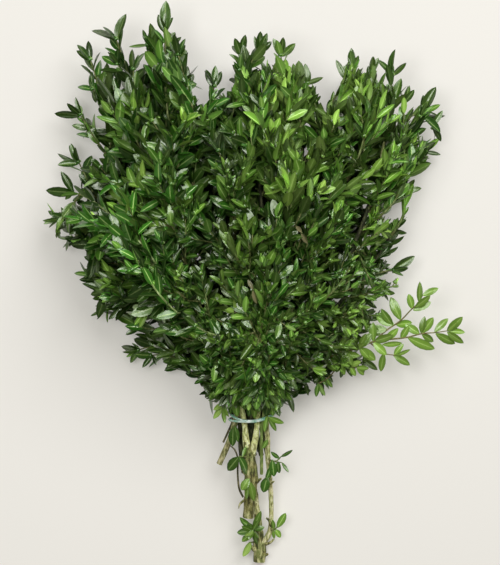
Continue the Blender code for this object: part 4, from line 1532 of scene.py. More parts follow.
@dataclass
class Host:
    """A shoot or stem from which foliage grows."""

    name: str
    route: Route
    first: float  # distance along the route from which it may carry shoots
    spears: list = field(default_factory=list)
    covers: list = field(default_factory=list)
    station_gap: float = 6.0

    @cached_property
    def stations(self) -> list[tuple]:
        """Places from which shoots may grow, each with its distance and heading."""
        steps = max(1, int((self.route.length - self.first) / self.station_gap))
        distances = [self.first + self.station_gap * step for step in range(steps)]
        return [(distance, *self.route.at(distance)[:2]) for distance in distances]

    def station_for(self, tip: Vector, badness: Any) -> tuple[float, float]:
        """Find the best place to grow a shoot that ends at a tip.

        Args:
            tip: The shoot's end.
            badness: How bad a place is, from the place, its heading and the tip.

        Returns:
            How bad the best place is, and its distance along the route.
        """
        return min((badness(place, heading, tip), at) for at, place, heading in self.stations)


class Cover(NamedTuple):
    """A shoot that helps to close the top of the bunch."""

    tip: Vector
    bent: float  # how far, in degrees, its end may turn away from the way it came
    habit: Habit
    near: bool = False


FAN_CENTRE = Vector((0, -60, 0))


def spear_badness(place: Vector, heading: Vector, tip: Vector) -> float:
    """How ill a place suits a spear's start: it should be near, and head the same way."""
    gap = tip - place
    lean = 1 - gap.normalized().dot(heading)
    return gap.length * (1 + 1.6 * lean) if gap.length > 18 and lean < 0.9 else math.inf


def cover_badness(place: Vector, heading: Vector, tip: Vector) -> float:
    """How ill a place suits a top shoot's start: the shoot should lie flat and fan out."""
    gap = tip - place
    flat = math.hypot(gap.x, gap.y)
    if not 24 < flat < 100:
        return math.inf
    out = (tip - FAN_CENTRE).xy.normalized()
    off = 1 - gap.xy.normalized().dot(out)
    lean = 1 - gap.normalized().dot(heading)
    return abs(flat - 58) / 58 + 2.4 * off + 0.8 * max(0.0, gap.z / flat) + 0.3 * lean


def near_badness(place: Vector, heading: Vector, tip: Vector) -> float:
    """How ill a place suits the start of a short shoot that may head anywhere."""
    gap = tip - place
    return abs(gap.length - 30) if math.hypot(gap.x, gap.y) > 12 else math.inf


def spear_route(host: Host, distance: float, spear: Spear) -> Route:
    """The axis of a spear.

    Args:
        host: What it grows from.
        distance: Where on the host it grows.
        spear: The spear.

    Returns:
        The route, which ends at the spear's last joint.
    """
    place, heading, _ = host.route.at(distance)
    joint = Vector(spear.joint)
    if spear.via:
        return Route.through(
            ((*place, 1.1), *((*stop, 0.95) for stop in spear.via), (*joint, 0.6)), 4
        )
    gap = joint - place
    middle = place + heading * (gap.length * 0.22) + gap * 0.30
    return Route.through(((*place, 0.95), (*middle, 0.8), (*joint, 0.55)), 4)


class PlacedLeaf(NamedTuple):
    """A leaf that has its own place on an open sprig."""

    base: tuple[float, float, float]
    tip: tuple[float, float, float]
    width: float
    young: float = 0.5
    tilt: float = 0.0
    form: LeafForm = LeafForm.PLAIN
    face: Face = Face.UPPER


@dataclass(frozen=True)
class OpenSprig:
    """A sparse sprig, of which each leaf stands clear."""

    name: str
    stalks: tuple
    leaves: tuple  # one row for each PlacedLeaf
    leaf: str = "box_leaf"
    bark: str = "twig_bark"
    has_node: bool = True

    def build(self, moulds: dict, finishes: dict) -> list:
        """Make the sprig's stalks and leaves.

        Args:
            moulds: The pressed leaves.
            finishes: The materials by name.

        Returns:
            The leaves' object and the stalks' one.
        """
        growth = Growth(self.name, moulds, Envelope(), Nature())
        for stalk in self.stalks:
            growth.twigs.add(Route.through(stalk, 4), 8, 3.0)
        for leaf in (PlacedLeaf(*row) for row in self.leaves):
            base, tip = Vector(leaf.base), Vector(leaf.tip)
            axis = (tip - base).normalized()
            up = Quaternion(axis, math.radians(leaf.tilt)) @ UP * leaf.face.value
            length = (tip - base).length
            width = leaf.width / (length * leaf.form.value.width)
            tone = growth.chance.uniform(0.28, 0.72)
            growth.leaf(base, axis, up, (width, length), (tone, leaf.young), leaf.form)
        slot = "leaf_light" if self.name in LIGHT_SPRAYS else "leaf_dark"
        node = self.name if self.has_node else None
        return growth.finish(self.name, node, slot, finishes, (self.leaf, self.bark))


SIDE_SPRIG = OpenSprig(
    "spray_side_sprig",
    stalks=(
        (
            (30, -74, 31, 1.2), (62, -64, 38, 1.1), (90, -55, 42, 0.9), (106, -49, 43, 0.8),
            (132, -46, 43, 0.7), (146, -42.5, 43, 0.6), (157, -41.7, 43, 0.5), (169, -40, 43, 0.4),
        ),
        (
            (104, -50, 43, 0.75), (115, -40, 43, 0.7), (128, -31, 43, 0.65), (136, -22.6, 43, 0.55),
            (143, -16, 43, 0.5), (147, -9, 43, 0.4),
        ),
        ((102, -51, 42, 0.7), (108, -56, 39, 0.6), (114, -60, 36, 0.5), (124, -61.5, 35, 0.4)),
        ((62, -64.2, 38, 0.7), (76, -69, 38, 0.6), (84, -71, 37, 0.5), (90, -72, 36, 0.4)),
        ((62, -64.2, 38, 0.7), (71, -73, 36, 0.65), (64, -82, 34, 0.6), (57, -86, 33, 0.45)),
    ),
    leaves=(
        ((168, -40, 43), (181.5, -28.5, 47), 7.6, 0.84, 10),
        ((169, -40.5, 43), (184, -41, 41), 5.6, 0.9, -24, LeafForm.FOLDED),
        ((168, -41, 43), (182, -51.5, 45), 6.6, 0.82, 16),
        ((168, -40, 43.4), (176, -33, 50), 4.2, 1.0, 20, LeafForm.SLENDER),
        ((157, -41, 43), (168.4, -29, 46), 6.6, 0.86, -14),
        ((158, -42.4, 43), (175.4, -52.4, 42), 7.6, 0.78, 12, LeafForm.BROAD),
        ((146, -42, 43), (156.4, -29, 46), 7.8, 0.82, 12, LeafForm.BROAD),
        ((145.4, -42, 43), (147.6, -27.6, 47), 6.2, 0.74, -22),
        ((144, -42.6, 43), (131.5, -34.5, 44), 7.4, 0.72, -10),
        ((134, -46, 43), (160, -58.6, 42), 8.6, 0.78, 8, LeafForm.BENT_BACK),
        ((146, -43, 42.6), (158, -50, 36), 6.2, 0.62, -8),
        ((128, -46.6, 43), (134.6, -36.4, 47), 6.6, 0.78, 14),
        ((143.6, -15.4, 43), (144.6, 2.4, 46), 5.6, 0.84, 14, LeafForm.SLENDER),
        ((146.6, -9.6, 43), (160.2, -2.8, 46), 6.2, 0.82, -12),
        ((138, -21.4, 43), (135.2, -8.4, 47), 7.0, 0.78, 18, LeafForm.BROAD),
        ((138.6, -22.4, 43), (154.6, -14.4, 42), 7.6, 0.72, -14),
        ((140, -19.8, 43.4), (153.8, -10.4, 47), 6.6, 0.92, 20),
        ((127.6, -30.6, 43), (118.3, -11.4, 46), 8.8, 0.7, -16, LeafForm.BROAD),
        ((122, -35, 43), (106.8, -27.4, 44), 9.0, 0.57, 14, LeafForm.BROAD),
        ((121, -36, 43), (110, -22, 48), 7.4, 0.52, -28),
        ((123.6, -34.6, 42), (139, -33.6, 38), 7.4, 0.62, 12),
        ((113.6, -59.8, 36), (110.4, -76.4, 33), 6.4, 0.74, 12),
        ((121.8, -61.4, 35), (137.4, -70, 33), 6.6, 0.78, -12),
        ((124, -61.4, 35), (136.6, -56.8, 38), 3.8, 0.82, 26, LeafForm.SLENDER),
        ((122.4, -61.2, 35), (129.8, -51.4, 40), 5.4, 0.72, -18),
        ((112, -52, 41), (130, -51.6, 40), 5.2, 0.84, 18),
        ((104, -50, 43), (116, -61, 44), 7.6, 0.82, -10),
        ((92, -54.6, 42), (106.4, -66.8, 40), 9.2, 0.86, 12, LeafForm.BROAD),
        ((92, -54.6, 42.6), (102, -42, 47), 8.2, 0.72, -14),
        ((105, -49, 43.4), (121, -44.6, 48), 7.6, 0.82, 14),
        ((104, -49, 43.4), (103, -33, 48), 7.2, 0.67, -20),
        ((114, -48, 43), (126, -38.6, 46), 7.0, 0.78, 18),
        ((116, -39, 43), (100, -38, 45), 8.2, 0.62, 16),
        ((110, -44, 43), (97, -34, 44), 8.4, 0.57, -14),
        ((76, -59, 40), (89, -46.4, 46), 8.2, 0.92, 10, LeafForm.PLAIN, Face.UNDER),
        ((76, -59.6, 40), (88, -70, 40), 8.0, 0.78, -8),
        ((76, -60, 39), (92, -62, 46), 7.0, 0.84, 12),
        ((62, -64, 38), (72, -50, 46), 7.4, 0.62, -12),
        ((70, -61.5, 40), (78, -50, 46), 6.2, 0.75, 10),
        ((70, -61.5, 40), (80, -70, 42), 6.2, 0.80, -10, LeafForm.PLAIN, Face.UNDER),
        ((80, -58, 42), (88, -46, 46), 6.4, 0.80, 10),
        ((80, -58, 42), (86, -70, 44), 6.0, 0.85, -12),
        ((86, -56.3, 43), (97, -51, 49), 5.6, 0.90, 0, LeafForm.PLAIN, Face.UNDER),
        ((92, -54.2, 43), (98, -43, 47), 6.2, 0.90, 14),
        ((92, -54.2, 43), (101, -64, 42), 6.4, 0.75, -8),
        ((76, -69, 38), (84, -62, 42), 5.4, 0.85, 8),
        ((76, -69, 38), (80, -79, 36), 5.2, 0.70, -12),
        ((84, -71, 37), (94, -66, 40), 5.2, 0.85, 10, LeafForm.PLAIN, Face.UNDER),
        ((84, -71, 37), (90, -80, 33), 5.0, 0.75, -14),
        ((90, -72, 36), (101, -73, 36), 4.8, 0.80, 10),
        ((90, -72, 36), (97, -79, 34), 4.4, 0.85, -10),
        ((57, -86, 33), (54, -98, 32), 5.0, 0.20, 24),
        ((57, -86, 33), (62, -97, 31), 4.6, 0.30, -24, LeafForm.PLAIN, Face.UNDER),
        ((64, -82, 34), (69, -90, 33), 4.0, 0.35, 10),
        ((62, -64.6, 38), (74, -76, 40), 7.4, 0.72, 16),
    ),
    bark="sprig_bark",
)

DRY_LEAVES = OpenSprig(
    "dry_leaves",
    stalks=(
        ((38, 30, 90, 0.7), (40, 38, 100, 0.6), (41, 44, 106, 0.5)),
        ((-3, -14, 84, 0.7), (-1, -8, 92, 0.6), (0, -4, 97, 0.5)),
    ),
    leaves=(
        ((41, 43, 106), (46, 34, 104), 4.2, 0.4, 20, LeafForm.FOLDED),
        ((41, 44, 106), (36, 50, 107), 3.8, 0.8, -14, LeafForm.CURVED_IN),
        ((0, -5, 97), (3, -17, 93), 4.0, 0.6, 24, LeafForm.FOLDED),
        ((0, -4, 97), (-5, 4, 98), 3.6, 0.3, -20, LeafForm.TWISTED),
    ),
    leaf="dry_leaf",
    has_node=False,
)

COLLAR_LEAVES = OpenSprig(
    "collar",
    stalks=(
        ((-16, -80, 38, 0.8), (-15, -90, 41, 0.7), (-16, -99, 41, 0.5)),
        ((0, -80, 40, 0.8), (0, -90, 43, 0.7), (0, -99, 42.5, 0.5)),
        ((14, -80, 38, 0.8), (14, -90, 41, 0.7), (15, -99, 40, 0.5)),
    ),
    leaves=(
        ((-15, -90, 41), (-27, -101, 40), 7.5, 0.05, 12, LeafForm.BROAD),
        ((-16, -96, 41), (-21, -113, 37), 7.5, 0.10, 16),
        ((-16, -99, 41), (-13, -115, 40), 7.0, 0.30, -14, LeafForm.BROAD),
        ((-15, -93, 42), (-6, -108, 43), 6.5, 0.05, -20),
        ((0, -92, 43), (-9, -106, 44), 6.5, 0.45, 10),
        ((0, -97, 43), (-5, -115, 41), 7.0, 0.02, 16, LeafForm.BROAD),
        ((0, -99, 43), (2, -117, 41), 6.2, 0.50, -10),
        ((0, -95, 43), (9, -109, 43), 6.8, 0.10, -18),
        ((14, -92, 41), (6, -106, 43), 6.0, 0.25, 10, LeafForm.PLAIN, Face.UNDER),
        ((15, -97, 41), (10, -115, 40), 7.0, 0.02, 14, LeafForm.BROAD),
        ((15, -99, 40), (18, -115, 37), 6.6, 0.35, -12),
        ((14, -95, 41), (25, -108, 38), 7.0, 0.08, -20),
    ),
    has_node=False,
)

TRUNK_SPRIG = OpenSprig(
    "sprig_on_trunk",
    stalks=(
        ((-5, -150, 27, 0.9), (-9, -149.6, 31, 0.8), (-12.4, -149.6, 32, 0.6)),
        ((-5, -184, 21, 0.9), (-4, -178, 26, 0.7), (-2, -170, 28, 0.5)),
        ((-14, -120, 29, 0.9), (-16, -123, 31, 0.7), (-17, -126, 31, 0.5)),
        ((-18, -96, 32, 1.0), (-23, -101, 36, 0.8), (-27, -107, 36, 0.5)),
    ),
    leaves=(
        ((-12.2, -150, 32), (-23.4, -162.4, 28), 9.4, 0.14, 16, LeafForm.BROAD),
        ((-12.2, -149.4, 32), (-1.4, -165.4, 31), 8.2, 0.08, -32, LeafForm.BENT_BACK),
        ((-3.4, -169, 28), (-10.8, -179, 29), 7.6, 0.82, 18, LeafForm.BROAD),
        ((-2.4, -172, 28), (1.6, -189.4, 26), 6.8, 0.84, -14),
        ((-4.2, -176, 27), (-6.2, -187.4, 26), 4.6, 0.6, 34, LeafForm.SLENDER),
        ((-17, -124.4, 31), (-18.8, -141.4, 30), 8.4, 0.08, 22),
        ((-16.4, -122, 31), (-11.6, -137, 32), 5.4, 0.14, -36),
        ((-27, -105, 36), (-32.6, -117.6, 33), 5.6, 0.85, 24, LeafForm.BENT_BACK, Face.UNDER),
        ((-26.4, -106, 36), (-26, -120.4, 32), 4.6, 0.7, -30, LeafForm.CURVED_IN),
        ((-24, -102, 36), (-34.4, -109.6, 38), 5.2, 0.75, 14, LeafForm.PLAIN, Face.UNDER),
        ((-25, -103, 37), (-21.4, -115.6, 36), 4.4, 0.65, 34, LeafForm.FOLDED),
        ((-6, -141, 31), (-9.4, -150, 33), 3.8, 0.42, 30, LeafForm.SLENDER),
    ),
)

THIN_STEM_SPRIG = OpenSprig(
    "sprig_on_thin_stem",
    stalks=(
        ((13, -152, 22, 0.9), (17, -154, 25, 0.8), (21, -153.6, 27, 0.7), (24.6, -149.6, 28, 0.45)),
        ((18, -154, 25, 0.7), (22, -155, 27, 0.6), (25, -155, 27, 0.4)),
        ((14.2, -166, 19, 0.8), (13, -168, 22, 0.7), (12, -170, 23, 0.5)),
        ((11.6, -110, 31, 0.9), (12.6, -114, 36, 0.7), (14, -117, 37, 0.4)),
    ),
    leaves=(
        ((24.2, -150, 28), (34.8, -144.4, 30), 3.6, 0.08, 26, LeafForm.SLENDER),
        ((23, -151.4, 28), (15.4, -145.8, 30), 4.2, 0.10, -24, LeafForm.SLENDER),
        ((17, -152.6, 26), (17.8, -168, 26), 7.4, 0.06, 12, LeafForm.BROAD),
        ((16, -158, 24), (12.4, -171, 25), 6.4, 0.10, -34),
        ((22, -154, 27.4), (20.8, -165.2, 28), 5.8, 0.06, 30, LeafForm.BENT_BACK),
        ((25, -155, 27), (30.2, -164.4, 26), 3.4, 0.10, -30, LeafForm.CURVED_IN),
        ((12.6, -168, 23), (8.2, -182, 22), 8.8, 0.08, 14, LeafForm.BROAD),
        ((12.8, -135, 29), (8.4, -143, 31), 4.4, 0.42, -18),
        ((13.4, -115, 37), (27.2, -121.4, 35), 5.4, 0.55, 16),
        ((13.4, -116, 37), (21.4, -127.4, 34), 5.0, 0.36, -28),
        ((12.6, -114, 36.6), (9.2, -128.4, 35), 5.0, 0.48, 32, LeafForm.SLENDER),
    ),
)

BOTTOM_LEFT_SPRIG = OpenSprig(
    "sprig_bottom_left",
    stalks=(
        ((3.6, -219, 9, 1.0), (1.0, -216.6, 13.5, 0.8), (-0.6, -213, 16, 0.6)),
        ((2, -226, 9, 0.8), (-1.6, -226, 12, 0.6), (-3, -226, 13, 0.5)),
    ),
    leaves=(
        ((-0.2, -216, 15), (-14.2, -216.6, 16), 7.0, 0.16, 20, LeafForm.BROAD),
        ((-0.6, -213.6, 16), (-12.0, -204.6, 20), 6.2, 0.20, -28),
        ((0, -213, 16.4), (7.8, -198.6, 20), 6.4, 0.45, 22),
        ((0.6, -214.6, 16), (10.0, -211.8, 17), 5.8, 0.22, -30),
        ((-0.2, -217, 15), (-10.4, -224.8, 15), 6.8, 0.60, 24),
        ((-0.4, -213, 17), (-4.4, -205.4, 25), 5.2, 0.28, -24, LeafForm.CURVED_IN),
        ((0.6, -216.4, 15), (2.8, -227.4, 17), 5.4, 0.30, 36),
        ((-2, -225.4, 13), (-6.8, -239.4, 10), 6.4, 0.85, 26, LeafForm.BENT_BACK, Face.UNDER),
        ((0.2, -214.6, 16.4), (-3.6, -222.4, 22), 5.0, 0.50, 10, LeafForm.FOLDED),
        ((-0.4, -215.5, 15.6), (-9.6, -211.4, 21), 5.2, 0.34, -10, LeafForm.FLAT),
        ((0.2, -214, 18), (4.4, -206, 24), 4.8, 0.50, -24, LeafForm.FOLDED),
        ((0.2, -215.6, 18), (-7.2, -220.6, 22), 4.6, 0.60, 34, LeafForm.PLAIN, Face.UNDER),
        ((0.4, -216, 17), (6.4, -221.4, 19), 4.4, 0.55, 30, LeafForm.CURVED_IN),
        ((-0.6, -213.2, 18), (-8.8, -206.0, 25), 4.2, 0.20, 40, LeafForm.SLENDER),
    ),
)

BOTTOM_RIGHT_SPRIG = OpenSprig(
    "sprig_bottom_right",
    stalks=(
        ((15.6, -216, 10.6, 0.9), (18.6, -215, 13, 0.8), (21.4, -212, 14.6, 0.6)),
    ),
    leaves=(
        ((21, -213, 14.6), (29.4, -200.4, 16), 6.8, 0.50, 14, LeafForm.BROAD),
        ((19.6, -214.6, 13.6), (24.8, -221.8, 13), 5.4, 0.62, -22),
        ((18.4, -215, 13.4), (17.6, -206, 17), 4.2, 0.66, 28),
        ((18.6, -215.4, 13.4), (18.4, -223.2, 12), 3.8, 0.50, 30, LeafForm.FOLDED),
    ),
)


OPEN_SPRIGS = (
    SIDE_SPRIG, DRY_LEAVES, COLLAR_LEAVES, TRUNK_SPRIG, THIN_STEM_SPRIG, BOTTOM_LEFT_SPRIG,
    BOTTOM_RIGHT_SPRIG,
)


# ----------------------------------------------------------------------------- the bunch


class StemSlot(IntEnum):
    """A stem's material slots: bark, cut ends, dead twigs, thin arms, and painted shade on covered parts.
    """

    OWN_BARK = 0
    CUT = 1
    DEAD = 2
    THIN_ARM = 3
    COVERED = 4


@dataclass(frozen=True)
class WoodyStem:
    """A stem or branch with its bark, its knots and its cut end."""

    name: str
    arms: tuple
    snags: tuple
    leafy_from: float = -100.0
    fine_ring: float = 2.4
    coarse_ring: float = 7.0
    sides: int = 14
    knot_gap: float = 17.0
    thin: float = 3.15  # arms of a trunk thinner than this have the paler bark
    painted_shade_from: float = -152.0  # painted shade: the long stem gets the dark bark above this y, under the others
    living: float = 1.0  # snags that start thinner than this are dead

    def lumps(self, seed: float, strength: float) -> Any:
        """The unevenness of the bark.

        Args:
            seed: Which of all the patterns it is.
            strength: How rough it is.

        Returns:
            A function from the turn and the distance to a share of the radius.
        """

        def share(turn: float, distance: float) -> float:
            round_about = Vector((math.cos(turn) * 1.1, math.sin(turn) * 1.1, distance / 7 + seed))
            ridge = Vector((math.cos(turn) * 3.4, math.sin(turn) * 3.4, distance / 16 + seed))
            to_knot = (distance + seed * 5) % self.knot_gap - self.knot_gap / 2
            knot = math.exp(-(to_knot / 1.5) ** 2) * (0.6 + 0.5 * math.cos(turn + distance * 0.2))
            return 1 + strength * (
                0.9 * noise.noise(round_about) + 0.7 * noise.noise(ridge) + 0.9 * knot
            )

        return share

    def build(self, finishes: dict) -> bpy.types.Object:
        """Make the stem.

        Args:
            finishes: The materials by name.

        Returns:
            The stem's object.
        """
        tubes = Tubes()
        trunk = self.name in FORKS
        for number, arm in enumerate(self.arms):
            route = Route.through(arm, 5)
            seed = len(self.name) * 1.7 + number * 3.1
            strength = 0.15 if trunk else 0.10
            spacing = self.coarse_ring if self.name.startswith("branch") else self.fine_ring
            old = len(tubes.bm.faces)
            start, end = tubes.add(route, self.sides, spacing, self.lumps(seed, strength))
            tubes.bm.faces.ensure_lookup_table()
            for face in tubes.bm.faces[old:] if trunk else ():
                middle = face.calc_center_median()
                y = middle.y
                ragged = 1 + 0.22 * noise.noise(middle * 0.45)
                if route.at(route.nearest_to_y(y))[2] < self.thin * ragged:
                    face.material_index = StemSlot.THIN_ARM
                # painted shade: the long stem's covered part gets the dark bark
                if number == 0 and self.painted_shade_from < y and self.name == "stem_long_forked":
                    face.material_index = StemSlot.COVERED
            for face in (start, end):
                face.material_index = StemSlot.CUT
        for snag in self.snags:
            old = len(tubes.bm.faces)
            _, end = tubes.add(Route.through(snag, 3), 8, 1.6)
            tubes.bm.faces.ensure_lookup_table()
            if snag[0][3] < self.living:
                for face in tubes.bm.faces[old:]:
                    face.material_index = StemSlot.DEAD
            else:
                end.material_index = StemSlot.CUT
        bark = BARKS.get(self.name, "trunk_bark" if trunk else "bark")
        arms = "arm_bark" if self.name == "stem_forked_trunk" else "bark"
        names = (bark, "cut_wood", "dead_bark", arms, "inner_bark")
        slots = tuple(finishes[name] for name in names)
        stem = tubes.finish(f"{self.name}_bark", slots)
        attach(stem, "root")
        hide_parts(self.name)
        log.info("%s: %d arms", self.name, len(self.arms))
        return stem

    def hosts(self) -> list[Host]:
        """The stem's arms, as far as foliage grows from them."""
        found = []
        for number, arm in enumerate(self.arms):
            route = Route.through(arm, 4)
            first = route.nearest_to_y(self.leafy_from)
            found.append(Host(f"{self.name}_{number}", route, first))
        return found


@dataclass(frozen=True)
class RubberBand:
    """The band: one closed loop, wound three times round the stems."""

    centre: tuple = (-1.0, -117.0, 23.6)
    half_width: float = 19.9
    half_height: float = 12.7
    turns: int = 3
    strand: float = 0.95
    spread: float = 0.6
    fan: float = 3.6
    sag: float = 1.8
    lift: float = 5.0
    stack: float = 0.95
    points_per_turn: int = 72

    def build(self, finishes: dict) -> bpy.types.Object:
        """Make the band.

        Args:
            finishes: The materials by name.

        Returns:
            The band's object.
        """
        curve = bpy.data.curves.new("rubber_band_strand", "CURVE")
        curve.dimensions = "3D"
        curve.bevel_depth = self.strand * MM
        curve.bevel_resolution = 2
        curve.render_resolution_u = 0
        spline = curve.splines.new("POLY")
        count = self.turns * self.points_per_turn
        spline.points.add(count - 1)
        spline.use_cyclic_u = True
        for number, point in enumerate(spline.points):
            turn = 2 * math.pi * number / self.points_per_turn
            drift = turn / self.turns
            grow = self.stack * math.sin(drift)
            left, right = (max(0.0, side * math.cos(turn)) for side in (-1, 1))
            place = Vector(self.centre) + Vector((
                (self.half_width + grow) * math.cos(turn),
                self.spread * math.cos(drift) + self.fan * left**3 * (1 + math.cos(drift))
                + self.lift * right**1.5 - self.sag * math.sin(turn),
                (self.half_height + grow) * math.sin(turn),
            ))
            point.co = (*(place * MM), 1)
            point.radius = 1 + 0.16 * noise.noise(place * 0.11)
        curve.materials.append(finishes["band_rubber"])
        band = put_in_scene(bpy.data.objects.new("rubber_band_strands", curve))
        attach(band, "root")
        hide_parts("rubber_band")
        log.info("rubber_band: %d turns", self.turns)
        return band


@dataclass
class Bunch:
    """The whole bunch."""

    moulds: dict
    finishes: dict
    envelope: Envelope = field(default_factory=Envelope)
    nature: Nature = field(default_factory=Nature)
    stems: list = field(default_factory=list)
    shoot_gap: float = 17.0
    lower_tips: tuple = (8, 32)
    top_from: float = 34.0  # shoots that end above this pass just under the foliage's top
    rings: int = 9
    first_ring: int = 34
    ring_gap: int = 31
    tip_gap: int = 17  # between the tips on one ring
    near_across: tuple = (-52, 80, 12)  # the first x, the x before which it stops, the step
    near_along: tuple = (-98, -14, 12)  # the same for y
    twig_leaf: float = 11.5  # how far a twig stops short of the tip of its last leaves
    cover_leaf: float = 13.0  # the same for a top shoot
    top_bent: float = 16.0
    low_bent: float = 40.0
    near_bent: float = 150.0
    collar_bent: float = 8.0
    top_habit: Habit = Habit(bare=11, pair_gap=8.2, side_shoots=0.2, side_reach=24)
    low_habit: Habit = Habit(bare=9, pair_gap=9.5, side_shoots=0.2, side_reach=26, size=1.35)
    near_habit: Habit = Habit(bare=8, pair_gap=7.4, side_shoots=0.0, size=0.9)
    collar_habit: Habit = Habit(bare=11, pair_gap=8.2, side_shoots=0.2, side_reach=24, size=1.25)
    ends: dict = field(default_factory=lambda: {s.owner: s for s in SPEARS if s.owner})

    def build_stems(self) -> None:
        """Make every stem and branch."""
        for name, arms in {**FORKS, **{name: (route,) for name, route in STEMS.items()}}.items():
            stem = WoodyStem(name, arms, SNAGS.get(name, ()))
            stem.build(self.finishes)
            self.stems.append(stem)

    def twig_route(self, twig: Origin, arms: dict) -> Route:
        """The axis of a leafy twig, from the middle of its parent to a leaf short of its tip.

        Args:
            twig: The twig.
            arms: The parents' hosts by stem and arm.

        Returns:
            The route.
        """
        parent = arms[f"{twig.parent}_{twig.arm}"].route
        tip = Vector(twig.tip)
        if twig.leaves_at is None:
            start, direction, _ = parent.at(parent.length)
        else:
            start, trunk, _ = parent.at(parent.nearest_to_y(twig.leaves_at))
            aim = tip - start
            square = (aim - trunk * aim.dot(trunk)).normalized()
            direction = trunk * 0.63 + square * 0.78
        straight = direction * ((tip - start).length * 0.5)
        middle = (start + straight).lerp(start.lerp(tip, 0.5), 0.55)
        if twig.name not in self.ends:
            end = tip - (tip - middle).normalized() * self.twig_leaf
            return Route.through(((*start, 1.3), (*middle, 0.95), (*end, 0.5)), 6)
        spear = self.ends[twig.name]
        stops = spear.via or (middle,)
        return Route.through(
            ((*start, 1.3), *((*stop, 1.0) for stop in stops), (*spear.joint, 0.6)), 6
        )

    def build_foliage(self) -> None:
        """Make every leafy twig, and the shoots that the stems carry themselves."""
        arms = {host.name: host for stem in self.stems for host in stem.hosts()}
        hosts = [
            Host(twig.name, self.twig_route(twig, arms), twig.bare * 0.5) for twig in TWIGS
        ]
        everyone = [*hosts, *arms.values()]
        for spear in SPEARS:
            if spear.owner:
                continue
            end = Vector(spear.via[0] if spear.via else spear.joint)
            number, distance = self.best_station(everyone, end, spear_badness)
            everyone[number].spears.append((distance, spear))
        for cover in self.covers():
            badness = near_badness if cover.near else cover_badness
            number, distance = self.best_station(everyone, cover.tip, badness)
            everyone[number].covers.append((distance, cover))
        for twig, host in zip(TWIGS, hosts):
            growth = Growth(twig.name, self.moulds, self.envelope, self.nature)
            end = self.ends.get(twig.name)
            bare = host.route.length * 0.25 if end and end.via else twig.bare
            pale = bool(end and end.via)
            habit = Habit(bare=bare, side_shoots=0.5, free=0.8, crowned=not end, pale=pale)
            growth.shoot(host.route, habit, -0.4 if pale else None)
            if end:
                growth.spear_end(end, host.route)
            self.add_outer_shoots(growth, host)
            slot = "leaf_light" if twig.name in LIGHT_SPRAYS else "leaf_dark"
            growth.finish(twig.name, twig.name, slot, self.finishes)
        for host in arms.values():
            growth = Growth(host.name, self.moulds, self.envelope, self.nature)
            self.add_stem_shoots(growth, host)
            self.add_outer_shoots(growth, host)
            if growth.leaves.count:
                growth.finish(f"{host.name}_shoots", None, "leaf_dark", self.finishes)

    def best_station(self, hosts: list, tip: Vector, badness: Any) -> tuple[int, float]:
        """Find the host, and the place on it, that can best grow a shoot to a tip.

        Args:
            hosts: All the hosts.
            tip: The shoot's end.
            badness: How bad a place is.

        Returns:
            The host's number, and the distance along it.
        """
        found = min((host.station_for(tip, badness), index) for index, host in enumerate(hosts))
        return found[1], found[0][1]

    def covers(self) -> list[Cover]:
        """Lay out the shoots that close the top: rings of them round the neck, and fillers."""
        chance = random.Random("cover")
        found = []
        for ring in range(self.rings):
            radius = self.first_ring + self.ring_gap * ring
            count = round(math.tau * radius / self.tip_gap)
            for number in range(count):
                angle = math.tau * (number + chance.uniform(-0.35, 0.35)) / count
                reach = radius + chance.uniform(-13, 13)
                place = FAN_CENTRE + Vector((math.sin(angle), math.cos(angle), 0)) * reach
                if not self.envelope.holds(place, 1.04):
                    continue
                place.z = self.envelope.roof(place) - chance.uniform(2, 11)
                found.append(Cover(place, self.top_bent, self.top_habit))
                low = place + Vector((chance.uniform(-8, 8), chance.uniform(-8, 8), 0))
                low.z = chance.uniform(*self.lower_tips)
                found.append(Cover(low, self.low_bent, self.low_habit))
        for x in range(*self.near_across):
            for y in range(*self.near_along):
                place = Vector((x + chance.uniform(-5, 5), y + chance.uniform(-5, 5), 0))
                if self.envelope.holds(place, 1.06):
                    place.z = self.envelope.roof(place) - chance.uniform(0, 7)
                    found.append(Cover(place, self.near_bent, self.near_habit, True))
        for x, y in THIN_PLACES:
            place = Vector((x, y, 0))
            place.z = self.envelope.roof(place) * chance.uniform(0.45, 0.9)
            found.append(Cover(place, self.near_bent, self.near_habit, True))
        found.extend(Cover(Vector(tip), self.collar_bent, self.collar_habit) for tip in COLLAR)
        return found

    def add_outer_shoots(self, growth: Growth, host: Host) -> None:
        """Grow a host's spears and its shoots over the bunch's top."""
        for distance, spear in host.spears:
            growth.spear(spear, spear_route(host, distance, spear))
        for distance, cover in host.covers:
            place, heading, _ = host.route.at(distance)
            middle = place.lerp(cover.tip, 0.5)
            if cover.tip.z > self.top_from:
                roof = self.envelope.roof(middle)
                middle.z = max(middle.z, roof - growth.chance.uniform(6, 16))
            turn = math.radians(growth.chance.uniform(-cover.bent, cover.bent))
            last = Quaternion(UP, turn) @ (cover.tip - middle).normalized()
            end = cover.tip - last * self.cover_leaf
            middle = middle.lerp(end - last * ((end - place).length * 0.4), 0.5)
            route = Route.through(((*place, 0.85), (*middle, 0.68), (*end, 0.4)), 4)
            growth.shoot(route, cover.habit)

